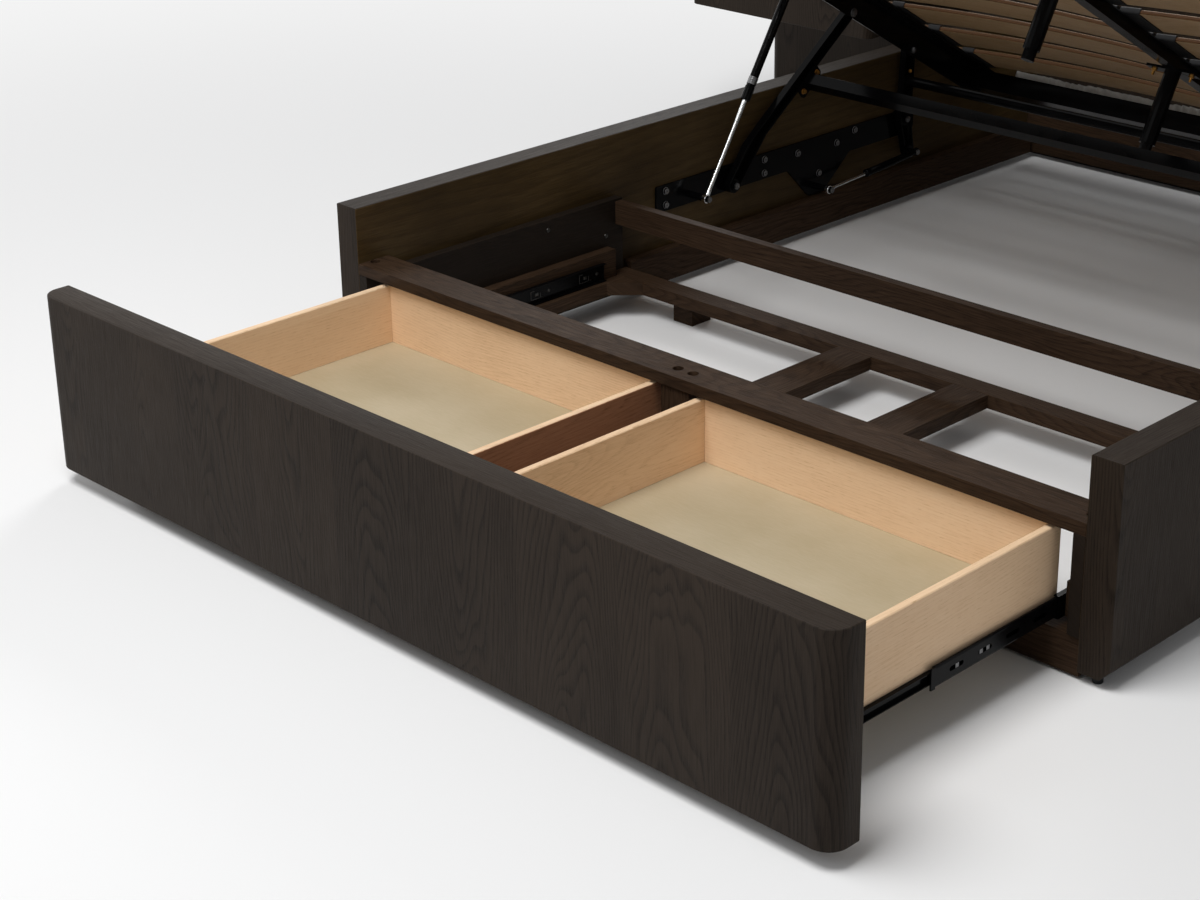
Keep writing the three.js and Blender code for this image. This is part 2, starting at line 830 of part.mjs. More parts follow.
// Stud that carries the eye of a strut: stand-off, pin through the eye and a head beyond it.
function strutStud(sign, y, z) {
  const face = innerHalf - seat - bracketThickness;
  const eyeOuter = strutX + eyeThickness / 2;
  const eyeInner = strutX - eyeThickness / 2;
  return [
    barX(studShoulderRadius, sign * (eyeOuter + seat), sign * (face + 1), y, z, smallSides),
    barX(studRadius, sign * (eyeInner - seat - 1), sign * (face + 1), y, z, smallSides),
    barX(
      studShoulderRadius,
      sign * (eyeInner - seat - studHeadThickness),
      sign * (eyeInner - seat),
      y,
      z,
      smallSides,
    ),
  ];
}

function liftBracket({ name, sign }) {
  const x0 = sign * (innerHalf - seat - bracketThickness);
  const x1 = sign * (innerHalf - seat);
  const end = bracketStart + bracketLength;
  const top = bracketBottom + bracketHeight;
  const strap = prismX(roundedOutline([
    [bracketStart, bracketBottom, bracketFootRadius],
    [end, bracketBottom, bracketHeadRadius],
    [end, top, bracketHeadRadius],
    [bracketStart, top, bracketFootRadius],
  ]), x0, x1);
  const pivotEar = prismX(linkOutline([
    [leverPivot.x - 2 * leverPivotRadius, bracketBottom + bracketHeight / 2, leverPivotRadius],
    [leverPivot.x, leverPivot.y, leverPivotRadius],
  ]), x0, x1);
  const gussetTop = bracketBottom + gussetOverlap;
  const gussetBottom = smallStrutFoot.y - gussetDrop;
  const [footTop, footBottom, headBottom, headTop] = gussetPoints.map((along) => smallStrutFoot.x + along);
  const gusset = prismX(roundedOutline([
    [footTop, gussetTop, 0],
    [footBottom, gussetBottom, gussetRadius],
    [headBottom, gussetBottom, gussetRadius],
    [headTop, gussetTop, 0],
  ]), x0, x1);
  const lowBolt = bracketBottom + bracketBoltInset;
  const highBolt = top - bracketBoltInset;
  const bolts = [
    [bracketStart + bracketFootBolt, lowBolt],
    [bracketStart + bracketFootBolt, highBolt],
    [armPivot.x + armBoltAlong, lowBolt],
    [armPivot.x + armBoltAlong, highBolt],
    ...gussetBolts.map(([along, up]) => [smallStrutFoot.x + along, smallStrutFoot.y + up]),
  ];
  const geometry = join(
    strap,
    pivotEar,
    gusset,
    ...bolts.map((place) => bracketBolt(sign, place)),
    ...linkStud(sign, armPivot.x, armPivot.y),
    ...linkStud(sign, leverPivot.x, leverPivot.y),
    ...strutStud(sign, strutFoot.x, strutFoot.y),
    ...strutStud(sign, smallStrutFoot.x, smallStrutFoot.y),
  );
  return piece(`${name}_lift_bracket`, geometry, finishes.blackSteel);
}

// Links are pressed channels: a web on the rail side and a wall round the edge
// Each is drawn along +Y from its own pivot

function pressedLink(circles, sign) {
  const body = prismX(linkOutline(circles), sign * linkInner, sign * linkOuter);
  const pocketCircles = circles.map(([y, z, radius]) => [y, z, radius - linkWall]);
  const pocket = prismX(linkOutline(pocketCircles), sign * (linkInner - 1), sign * (linkOuter - linkWall));
  return [body, pocket];
}

// Boss inside a pressed link, with the hole for its pin.
function linkBoss(sign, y, z, radius) {
  return barX(radius - linkWall + 1, sign * linkInner, sign * (linkOuter - 1), y, z);
}

function linkHole(sign, y, z) {
  return barX(pivotPinRadius + pinPlay, sign * (linkInner - 1), sign * (linkOuter + 1), y, z);
}

function liftArm({ name, sign }) {
  const [body, pocket] = pressedLink([
    [0, 0, armPivotRadius],
    [armFootAlong, armFootRise, armFootRadius],
    [armKneeAlong, armKneeRise, armKneeRadius],
    [armLength, 0, armEndRadius],
  ], sign);
  const hollow = cut(body, pocket);
  const bosses = [linkBoss(sign, 0, 0, armPivotRadius), linkBoss(sign, armLength, 0, armEndRadius)];
  const geometry = cut(join(hollow, ...bosses), linkHole(sign, 0, 0), linkHole(sign, armLength, 0));
  return piece(`${name}_lift_arm`, geometry, finishes.blackSteel);
}

function frontCrossTube() {
  const end = linkInner - seat;
  const half = frontTubeSize / 2;
  const bore = half - tubeWall;
  const ring = rectangle(-half, half, -half, half);
  const hole = rectangle(-bore, bore, -bore, bore);
  const tube = prismX(ring, -end, end);
  const flangeHalf = tubeFlangeLength / 2;
  const widthHalf = tubeFlangeWidth / 2;
  const flanges = sides.map(({ sign }) => prismX(roundedOutline([
    [-flangeHalf, -widthHalf, tubeFlangeRadius],
    [flangeHalf, -widthHalf, tubeFlangeRadius],
    [flangeHalf, widthHalf, tubeFlangeRadius],
    [-flangeHalf, widthHalf, tubeFlangeRadius],
  ]), sign * (end - tubeFlangeThickness), sign * end));
  const geometry = cut(join(tube, ...flanges), prismX(hole, -end - 1, end + 1));
  const mesh = piece('front_cross_tube', geometry, finishes.blackSteel);
  mesh.position.set(0, frontTubeAlong, -frontTubeDrop);
  return mesh;
}

function rearLever({ name, sign }) {
  const foot = pointOn(new THREE.Vector2(), leverFootLength, -leverBend);
  const [body, pocket] = pressedLink([
    [foot.x, foot.y, leverFootRadius],
    [0, 0, leverPivotRadius],
    [leverLength, 0, leverHeadRadius],
  ], sign);
  const hollow = cut(body, pocket);
  const bosses = [
    linkBoss(sign, 0, 0, leverPivotRadius),
    linkBoss(sign, leverLength, 0, leverHeadRadius),
    linkBoss(sign, foot.x, foot.y, leverFootRadius),
    linkBoss(sign, rearTubeAlong, 0, leverHeadRadius),
  ];
  const topBolt = barX(pivotHeadRadius, sign * (linkOuter - 1), sign * (linkOuter + pivotHeadThickness),
    leverLength, 0);
  const studEnd = strutX + lapEyeThickness / 2 + seat;
  const footStud = barX(studRadius + 1, sign * studEnd, sign * (linkInner + 1), foot.x, foot.y, smallSides);
  const geometry = cut(join(hollow, ...bosses, topBolt, footStud), linkHole(sign, 0, 0));
  return piece(`${name}_rear_lever`, geometry, finishes.blackSteel);
}

function rearCrossTube() {
  const end = linkInner - seat;
  const tube = barX(rearTubeRadius, -end, end, rearTubeAlong, 0);
  const bore = barX(rearTubeRadius - tubeWall, -end - 1, end + 1, rearTubeAlong, 0);
  return piece('rear_cross_tube', cut(tube, bore), finishes.blackSteel);
}

// Gas struts, drawn along +Y from the foot pin

function strutRod(name, sign, rodRadius, length) {
  const eye = barX(eyeRadius, sign * (strutX - eyeThickness / 2), sign * (strutX + eyeThickness / 2), 0, 0);
  const hole = barX(studRadius + pinPlay, sign * (strutX - eyeThickness), sign * (strutX + eyeThickness),
    0, 0, smallSides);
  const collarRadius = eyeThickness / 2;
  const collarEnd = eyeRadius + 2 * rodRadius;
  const rod = turnedY([
    [0, 0],
    [collarRadius, 0],
    [collarRadius, collarEnd],
    [rodRadius, collarEnd + collarRadius - rodRadius + seat],
    [rodRadius, length],
    [0, length],
  ], sign * strutX, smallSides);
  return piece(name, cut(join(eye, rod), hole), finishes.chrome);
}

// Cylinder with its gland and bore open towards the foot and a flat eye at its top pin.
function strutCylinder(name, sign, size) {
  const { reach, length, radius, glandRadius, glandLength, bore, boreDepth } = size;
  const mouth = reach - length;
  const shoulder = reach - eyeRadius - shoulderGap;
  const body = turnedY([
    [0, mouth + boreDepth],
    [bore, mouth + boreDepth],
    [bore, mouth],
    [glandRadius - glandBevel, mouth],
    [glandRadius, mouth + glandBevel],
    [glandRadius, mouth + glandLength],
    [radius, mouth + glandLength + glandRadius - radius],
    [radius, shoulder - shoulderBevel],
    [radius - shoulderBevel, shoulder],
    [0, shoulder],
  ], sign * strutX);
  const halfEye = lapEyeThickness / 2;
  const eye = barX(eyeRadius, sign * (strutX - halfEye), sign * (strutX + halfEye), reach, 0);
  const neck = block(
    sign * (strutX - halfEye),
    sign * (strutX + halfEye),
    shoulder - 1,
    reach,
    -eyeRadius / 2,
    eyeRadius / 2,
  );
  return piece(name, join(body, eye, neck), finishes.blackSteel);
}

function strut({ name, sign }) {
  const reach = strutTop.distanceTo(strutFoot);
  const group = new THREE.Group();
  group.position.set(0, strutFoot.x, strutFoot.y);
  group.rotation.x = strutTop.clone().sub(strutFoot).angle();
  group.add(
    strutRod(`${name}_strut_rod`, sign, strutRodRadius, reach - strutCylinderLength + strutEngagement),
    strutCylinder(`${name}_strut_cylinder`, sign, {
      reach,
      length: strutCylinderLength,
      radius: strutCylinderRadius,
      glandRadius: strutGlandRadius,
      glandLength: strutGlandLength,
      bore: strutRodRadius + boreClearance,
      boreDepth: strutBoreDepth,
    }),
  );
  return group;
}

function smallStrut({ name, sign }) {
  const reach = leverFoot.distanceTo(smallStrutFoot);
  const group = new THREE.Group();
  group.position.set(0, smallStrutFoot.x, smallStrutFoot.y);
  group.rotation.x = leverFoot.clone().sub(smallStrutFoot).angle();
  const rodLength = reach - smallCylinderLength + smallEngagement;
  group.add(
    strutRod(`${name}_small_strut_rod`, sign, smallRodRadius, rodLength),
    strutCylinder(`${name}_small_strut_body`, sign, {
      reach,
      length: smallCylinderLength,
      radius: smallCylinderRadius,
      glandRadius: smallGlandRadius,
      glandLength: smallGlandLength,
      bore: smallRodRadius + boreClearance,
      boreDepth: smallBoreDepth,
    }),
  );
  return group;
}

// Platform, drawn flat with its front pivot at the origin and the head towards +Y

const platformFoot = platformFootInset - shutPivot.x;
const platformHead = platformFoot + platformLength;
const slatSpaceStart = platformFoot + endMemberWidth;
const slatSpaceEnd = platformHead - endMemberWidth;

function platformSide({ name, sign }) {
  const section = [
    [angleOuter, angleRise - angleHeight],
    [angleOuter, angleRise],
    [angleOuter - angleWidth, angleRise],
    [angleOuter - angleWidth, angleRise - angleSheet],
    [angleInner, angleRise - angleSheet],
    [angleInner, angleRise - angleHeight],
  ];
  const angle = prismY(outline(section.map(([x, z]) => [sign * x, z])), platformFoot, platformHead);
  const washerEnd = linkInner - seat;
  const pinEnd = linkOuter + seat;
  const fittings = [
    barX(pivotHeadRadius, sign * (angleInner + 1), sign * washerEnd, 0, 0),
    barX(pivotPinRadius, sign * (angleInner + 1), sign * (pinEnd + 1), 0, 0),
    barX(pivotHeadRadius, sign * pinEnd, sign * (pinEnd + pivotHeadThickness), 0, 0),
    barX(pivotHeadRadius, sign * (angleInner + 1), sign * washerEnd, platformPivotSpacing, 0),
    barX(studShoulderRadius, sign * (strutX + lapEyeThickness / 2 + seat), sign * (angleInner + 1),
      -strutTopAlong, strutTopRise, smallSides),
  ];
  return piece(`${name}_platform_side`, join(angle, ...fittings), finishes.blackSteel);
}

function boxTubeX(y0, y1, z0, z1, half) {
  const tube = prismX(rectangle(y0, y1, z0, z1), -half, half);
  const bore = prismX(
    rectangle(y0 + memberWall, y1 - memberWall, z0 + memberWall, z1 - memberWall),
    -half - 1,
    half + 1,
  );
  return cut(tube, bore);
}

function supportLeg(y, top, length) {
  return [
    barZ(legRadius, 0, y, top - length + legCapLength, top + 1),
    barZ(legCapRadius, 0, y, top - length, top - length + legCapLength + 1),
  ];
}

function platformCentreFrame() {
  const half = angleInner - seat;
  const beamBottom = angleRise - beamHeight;
  const footMember = boxTubeX(platformFoot, slatSpaceStart, memberTop - footMemberHeight, memberTop, half);
  const headMember = boxTubeX(slatSpaceEnd, platformHead, memberTop - headMemberHeight, memberTop, half);
  const beam = block(
    -beamWidth / 2,
    beamWidth / 2,
    slatSpaceStart - 1,
    slatSpaceEnd + 1,
    beamBottom,
    angleRise,
  );
  const plate = block(
    -postPlateLength / 2,
    postPlateLength / 2,
    postAlong - postPlateWidth / 2,
    postAlong + postPlateWidth / 2,
    beamBottom - postPlateThickness,
    beamBottom + 1,
  );
  const legs = [
    ...supportLeg(-footLegAlong, beamBottom, footLegLength),
    ...supportLeg(postAlong, beamBottom - postPlateThickness, postLength),
  ];
  // The beam is a tube that opens into the end members through their inner walls.
  const bore = block(
    memberWall - beamWidth / 2,
    beamWidth / 2 - memberWall,
    slatSpaceStart - memberWall - 1,
    slatSpaceEnd + memberWall + 1,
    beamBottom + memberWall,
    memberTop - memberWall,
  );
  const geometry = join(cut(join(footMember, headMember, beam), bore), plate, ...legs);
  return piece('platform_centre_frame', geometry, finishes.blackSteel);
}

// Sprung slat across one half of the platform, bowed upwards along a parabola.
function slat(x0, x1, y, z) {
  const lower = Array.from({ length: slatSteps + 1 }, (unused, index) => {
    const share = index / slatSteps;
    return [x0 + (x1 - x0) * share, z + 4 * slatBow * share * (1 - share)];
  });
  const upper = lower.map(([x, height]) => [x, height + slatThickness]).reverse();
  return prismY(outline([...lower, ...upper]), y - slatWidth / 2, y + slatWidth / 2);
}

function slatDeck({ name, sign }) {
  const span = slatSpaceEnd - slatSpaceStart - 2 * slatEndGap - slatWidth;
  const count = Math.floor(span / slatPitch) + 1;
  const first = slatSpaceStart + slatEndGap + slatWidth / 2 + (span - (count - 1) * slatPitch) / 2;
  const holderBottom = angleRise + seat;
  const holderTop = holderBottom + holderThickness;
  const outerEdge = angleOuter - slatInset;
  const innerEdge = holderGap / 2;
  const slats = Array.from({ length: count }, (unused, index) => slat(
    sign * (innerEdge + slatInset / 2),
    sign * (outerEdge - slatInset),
    first + index * slatPitch,
    holderTop - 1,
  ));
  const holders = [
    block(sign * (outerEdge - outerHolderWidth), sign * outerEdge, slatSpaceStart, slatSpaceEnd,
      holderBottom, holderTop),
    block(sign * innerEdge, sign * (innerEdge + innerHolderWidth), slatSpaceStart, slatSpaceEnd,
      holderBottom, holderTop),
  ];
  return piece(`${name}_slat_deck`, join(...holders, ...slats), finishes.beech);
}

// Gathered cloth edge standing on the head member: a strip whose middle line swings in and out.
function headEdgeCloth() {
  const half = angleOuter - angleWidth - clothEndGap;
  const steps = Math.round(2 * half / clothFoldPitch) * clothStepsPerFold;
  const low = memberTop + seat;
  const middle = slatSpaceEnd + clothSetback;
  const positions = [];
  for (let step = 0; step <= steps; step += 1) {
    const x = -half + 2 * half * step / steps;
    const phase = 2 * Math.PI * step / clothStepsPerFold;
    const swing = clothFoldDepth * (1 - clothSwingShare * (1 - Math.sin(x / clothSwingLength)));
    const foot = middle + clothFootShare * swing * Math.sin(phase);
    const top = middle + swing * Math.sin(phase + clothLean);
    const high = low + clothHeight * (1 - clothHeightShare * (1 - Math.cos(x / clothHeightLength)));
    positions.push(x, foot, low, x, foot + clothThickness, low);
    positions.push(x, top + clothThickness, high, x, top, high);
  }
  const indices = [];
  for (let step = 0; step < steps; step += 1) {
    const here = 4 * step;
    for (let corner = 0; corner < 4; corner += 1) {
      const next = (corner + 1) % 4;
      indices.push(here + corner, here + next, here + 4 + corner);
      indices.push(here + next, here + 4 + next, here + 4 + corner);
    }
  }
  const last = 4 * steps;
  indices.push(0, 3, 2, 0, 2, 1);
  indices.push(last, last + 1, last + 2, last, last + 2, last + 3);
  const geometry = new THREE.BufferGeometry();
  geometry.setAttribute('position', new THREE.Float32BufferAttribute(positions, 3));
  geometry.setIndex(indices);
  geometry.computeVertexNormals();
  return piece('head_edge_cloth', geometry, finishes.cloth);
}

// Assembly

function fixedFrame() {
  const group = new THREE.Group();
  group.add(
    headboardPanel(),
    frontCrossRail(),
    rearCrossRail(),
    centreDivider(),
    baseFrontRail(),
    baseMidRail(),
    baseHeadRail(),
  );
  const pairs = [
    sideRail, bedsideBox, bayBoard, slideCleat, baseMember, baseCrossMember, plinthBoard,
    slideChannel, liftBracket,
  ];
  pairs.forEach((make) => sides.forEach((side) => group.add(make(side))));
  return group;
}

function drawer() {
  const group = new THREE.Group();
  group.position.y = -drawerTravel;
  group.add(drawerFront());
  sides.forEach((side) => group.add(...drawerBox(side), slideInner(side)));
  return group;
}

function middleSlides() {
  const group = new THREE.Group();
  group.position.y = -drawerTravel / 2;
  sides.forEach((side) => group.add(slideMiddle(side)));
  return group;
}

function liftArms() {
  const group = new THREE.Group();
  group.position.set(0, armPivot.x, armPivot.y);
  group.rotation.x = armOpenAngle;
  group.add(frontCrossTube());
  sides.forEach((side) => group.add(liftArm(side)));
  return group;
}

function rearLevers() {
  const group = new THREE.Group();
  group.position.set(0, leverPivot.x, leverPivot.y);
  group.rotation.x = leverOpenAngle;
  group.add(rearCrossTube());
  sides.forEach((side) => group.add(rearLever(side)));
  return group;
}

function platform() {
  const group = new THREE.Group();
  group.position.set(0, platformPivot.x, platformPivot.y);
  group.rotation.x = -platformTilt;
  group.add(platformCentreFrame(), headEdgeCloth());
  sides.forEach((side) => group.add(platformSide(side), slatDeck(side)));
  return group;
}

// The bed's own frame has its origin on the floor under the middle of its bounding box.
const bed = new THREE.Group();
const frontLimit = -drawerTravel - drawerFrontThickness;
bed.position.y = -(frontLimit + headboardBack) / 2;
bed.add(fixedFrame(), drawer(), middleSlides(), liftArms(), rearLevers(), platform());
sides.forEach((side) => bed.add(strut(side), smallStrut(side)));

export default bed;
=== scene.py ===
"""The looks of the ottoman bed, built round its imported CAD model.

Metres, +Z up, in the frame of the CAD model: X across the bed, Y from the foot to the head.
The platform is up and the drawer is out, as in the photograph.
"""

import json
import math

import bmesh
import bpy
import numpy as np
from mathutils import Matrix, Vector


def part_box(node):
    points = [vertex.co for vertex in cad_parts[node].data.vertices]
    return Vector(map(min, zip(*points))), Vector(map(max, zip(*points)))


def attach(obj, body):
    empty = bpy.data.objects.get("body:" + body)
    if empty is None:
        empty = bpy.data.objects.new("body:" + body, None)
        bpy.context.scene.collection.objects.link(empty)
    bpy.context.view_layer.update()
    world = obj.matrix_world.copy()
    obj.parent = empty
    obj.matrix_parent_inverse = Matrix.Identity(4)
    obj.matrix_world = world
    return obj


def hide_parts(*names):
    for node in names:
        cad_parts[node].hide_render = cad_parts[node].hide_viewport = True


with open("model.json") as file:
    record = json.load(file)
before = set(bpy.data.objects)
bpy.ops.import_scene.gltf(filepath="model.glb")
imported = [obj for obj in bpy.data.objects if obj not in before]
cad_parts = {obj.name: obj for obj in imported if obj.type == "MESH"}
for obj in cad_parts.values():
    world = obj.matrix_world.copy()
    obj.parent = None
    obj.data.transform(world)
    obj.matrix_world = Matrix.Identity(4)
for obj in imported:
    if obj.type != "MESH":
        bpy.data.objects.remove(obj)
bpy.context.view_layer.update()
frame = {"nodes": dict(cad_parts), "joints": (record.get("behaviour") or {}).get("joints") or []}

# Places taken from the frame, and sizes that repeat the CAD model's

SIDES = (("left", -1), ("right", 1))
JOINTS = {joint["name"]: joint for joint in frame["joints"]}
PLATFORM_TILT = math.radians(-30)
ARM_ANGLE = math.radians(39.5)
SEAT = 0.0003                       # gap between two pieces that are fastened face to face
BRACKET_THICKNESS = 0.0045
STRUT_FROM_RAIL = 0.043
ANGLE_FROM_LINK = 0.005
LEVER_PIN = 0.235                   # pin of the rear levers, along the platform from its front pivot
LEVER_BEND = math.radians(163.6)
LEVER_FOOT_REACH = 0.077
STRUT_PIN = (-0.234, 0.0127)        # top pin of the main struts, along the platform and up

rail_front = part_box("left_side_rail")[0].y
inner_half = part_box("right_side_rail")[0].x
link_inner = abs(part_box("right_lift_arm")[0].x)
bracket_face = inner_half - SEAT - BRACKET_THICKNESS
strut_x = inner_half - STRUT_FROM_RAIL
angle_inner = link_inner - ANGLE_FROM_LINK
arm_pivot, platform_pivot, lever_pivot, strut_foot, small_strut_foot = (
    np.array(JOINTS[name]["pos_m"])
    for name in ("lift_arms_swing", "platform_tilt", "rear_levers_swing", "left_strut_swing",
                 "left_small_strut_swing")
)
strut_axis = np.array(JOINTS["left_strut_stroke"]["axis"])
small_strut_axis = np.array(JOINTS["left_small_strut_stroke"]["axis"])


def turn_about_x(points, angle, origin):
    """Points of a part's own flat frame, turned by the angle about X and moved to the origin."""
    c, s = math.cos(angle), math.sin(angle)
    rotation = np.array([[1, 0, 0], [0, c, -s], [0, s, c]])
    return np.asarray(points, float) @ rotation.T + origin


def on_platform(points):
    """Points given in the flat platform's frame: origin at its front pivot, Y towards the head."""
    return turn_about_x(points, PLATFORM_TILT, platform_pivot)


def platform_box(node):
    """Lowest and highest corners of a CAD node in the flat platform's frame."""
    mesh = frame["nodes"][node].data
    points = np.empty(3 * len(mesh.vertices))
    mesh.vertices.foreach_get("co", points)
    flat = turn_about_x(points.reshape(-1, 3) - platform_pivot, -PLATFORM_TILT, 0)
    return flat.min(0), flat.max(0)


lever_top = on_platform((0, LEVER_PIN, 0))
lever_angle = math.atan2(lever_top[2] - lever_pivot[2], lever_top[1] - lever_pivot[1])
lever_foot = turn_about_x((0, LEVER_FOOT_REACH, 0), lever_angle - LEVER_BEND, lever_pivot)
strut_top = on_platform((0, *STRUT_PIN))


# Surfaces

EDGE_ROWS = 5                       # rows of points round the edge of a slab
DOUBLES = 2e-6
PRESSED_EDGE = 0.0003
SHARP = 35                          # degrees above which an edge is drawn sharp


def rounded_loop(corners, radii, steps):
    """Centres, radii and directions of a closed loop: a rectangle with quarter circles as corners.

    Corners are the lowest and highest (a, b); radii are one for all or four, counter-clockwise
    from the lowest corner. A point of the loop is centre + (radius - inset) * direction, so the
    loop can be drawn in by any inset.
    """
    low = np.min(corners, 0)
    high = np.max(corners, 0)
    signs = np.array([[1, 1], [-1, 1], [-1, -1], [1, -1]])
    anchors = np.array([low, [high[0], low[1]], high, [low[0], high[1]]])
    radii = np.full(4, radii, float)
    centres = anchors + signs * radii[:, None]
    quarter = np.linspace(0, 90, steps + 1)
    angles = np.radians(180 + 90 * np.arange(4)[:, None] + quarter)
    directions = np.stack([np.cos(angles), np.sin(angles)], -1).reshape(-1, 2)
    loop = np.repeat(centres, steps + 1, 0), np.repeat(radii, steps + 1), directions
    return [np.concatenate([part, part[:1]]) for part in loop]


def stacked(*parts):
    """Arrays that fit together, as the last axis of one array."""
    return np.stack(np.broadcast_arrays(*parts), -1)


def run_length(points):
    """Length of a line of points from its start to each point."""
    return np.concatenate([[0], np.cumsum(np.linalg.norm(np.diff(points, axis=0), axis=1))])


def surface(points, uv=None, capped=False):
    """A grid of points (rows, columns, 3) as vertices and square faces, its ends closed if capped.

    The map of a cap is its own (y, x).
    """
    rows, columns = points.shape[:2]
    index = np.arange(rows * columns).reshape(rows, columns)
    quads = np.stack([index[:-1, :-1], index[:-1, 1:], index[1:, 1:], index[1:, :-1]], -1)
    quads = quads.reshape(-1, 4)
    faces = quads.tolist()
    if uv is None:
        uv = np.zeros((rows, columns, 2))
    corners = uv.reshape(-1, 2)[quads].reshape(-1, 2)
    if capped:
        first, last = index[0, :-1][::-1], index[-1, :-1]
        faces += [first.tolist(), last.tolist()]
        cap = points.reshape(-1, 3)[np.concatenate([first, last])][:, [1, 0]]
        corners = np.concatenate([corners, cap])
    return {"points": points.reshape(-1, 3), "faces": faces, "uv": corners}


def merged(surfaces):
    """Several surfaces as one list of points, faces and face-corner coordinates."""
    starts = np.cumsum([0] + [len(part["points"]) for part in surfaces])
    faces = [[start + v for v in face] for start, part in zip(starts, surfaces)
             for face in part["faces"]]
    return {
        "points": np.concatenate([part["points"] for part in surfaces]),
        "faces": faces,
        "uv": np.concatenate([part["uv"] for part in surfaces]),
    }


def placed(name, data):
    """A new object in the scene."""
    thing = bpy.data.objects.new(name, data)
    bpy.context.scene.collection.objects.link(thing)
    return thing


def new_piece(name, surfaces, body, material, replaces=(), sharp=SHARP):
    """A piece of the visual model made of surfaces, riding on a body of the frame."""
    shape = merged(surfaces)
    mesh = bpy.data.meshes.new(name)
    mesh.from_pydata(shape["points"], [], shape["faces"])
    layer = mesh.uv_layers.new(name="grain")
    layer.data.foreach_set("uv", shape["uv"].astype(np.float32).ravel())
    shell = bmesh.new()
    shell.from_mesh(mesh)
    bmesh.ops.remove_doubles(shell, verts=shell.verts, dist=DOUBLES)
    bmesh.ops.recalc_face_normals(shell, faces=shell.faces)
    shell.to_mesh(mesh)
    shell.free()
    mesh.polygons.foreach_set("use_smooth", np.ones(len(mesh.polygons), bool))
    mesh.set_sharp_from_angle(angle=math.radians(sharp))
    piece = placed(name, mesh)
    mesh.materials.append(MATERIALS[material])
    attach(piece, body)
    if replaces:
        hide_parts(*replaces)
    return piece


def turned(profile, origin, axis, sides=32):
    """Surface of revolution: the profile (radius, distance) is carried round the axis."""
    axis = np.asarray(axis, float) / np.linalg.norm(axis)
    off_x = abs(axis[0]) < 0.9
    first = np.cross(axis, (1.0, 0, 0) if off_x else (0, 1.0, 0))
    first /= np.linalg.norm(first)
    second = np.cross(axis, first)
    angle = np.linspace(0, 2 * math.pi, sides + 1)
    ring = np.cos(angle)[:, None] * first + np.sin(angle)[:, None] * second
    radius, distance = np.asarray(profile, float).T
    points = radius[:, None, None] * ring + (distance[:, None] * axis)[:, None] + np.asarray(origin)
    return surface(points)


def slab(loop, z0, z1, edge):
    """Upright slab: a rounded loop in (x, y) from z0 to z1, with quarter-round edges at both ends."""
    centres, radii, directions = loop
    angle = np.linspace(0, math.pi / 2, EDGE_ROWS)
    inset = edge * np.concatenate([1 - np.sin(angle), 1 - np.cos(angle)])
    lower = z0 + edge * (1 - np.cos(angle))
    upper = z1 - edge * (1 - np.sin(angle))
    height = np.concatenate([lower, upper])
    reach = radii - inset[:, None]
    plan = centres + reach[..., None] * directions
    points = stacked(plan[..., 0], plan[..., 1], height[:, None])
    uv = stacked(run_length(points[EDGE_ROWS]), height[:, None])
    return surface(points, uv, capped=True)


def pressed(corners, radius, steps, faces):
    """Pressed sheet between two faces across X: an upright slab with its axes turned round."""
    part = slab(rounded_loop(corners, radius, steps), *sorted(faces), PRESSED_EDGE)
    part["points"] = part["points"][:, [2, 0, 1]]
    return part


# Materials

FACES_UP = 0.7                      # upward share of a normal above which a face counts as a top


def srgb(red, green, blue):
    """A colour written as it looks on screen, 0 to 255, as linear light."""
    value = np.array([red, green, blue]) / 255
    linear = np.where(value <= 0.04045, value / 12.92, ((value + 0.055) / 1.055) ** 2.4)
    return (*linear.tolist(), 1.0)


class Nodes:
    """The node tree of a world or a material, with short ways to add to it."""

    def __init__(self, owner):
        owner.use_nodes = True
        self.tree = owner.node_tree

    def add(self, kind, *numbered, operation=None, **named):
        """A node whose inputs, by number or by name, are values or sockets of other nodes."""
        node = self.tree.nodes.new(kind)
        if operation:
            node.operation = operation
        for key, value in (*enumerate(numbered), *named.items()):
            self.set(node.inputs[key.replace("_", " ") if key in named else key], value)
        return node

    def set(self, socket, value):
        if isinstance(value, bpy.types.NodeSocket):
            self.tree.links.new(value, socket)
        else:
            socket.default_value = value

    def math(self, operation, first, second=0.0, third=0.0):
        return self.add("ShaderNodeMath", first, second, third, operation=operation).outputs[0]

    def measure(self, operation, *vectors):
        """One number from vectors, such as a dot product or a length."""
        return self.add("ShaderNodeVectorMath", *vectors, operation=operation).outputs["Value"]

    def coordinates(self, kind="Object"):
        """Places or normals in the object's own frame, as one vector."""
        return self.tree.nodes.new("ShaderNodeTexCoord").outputs[kind]


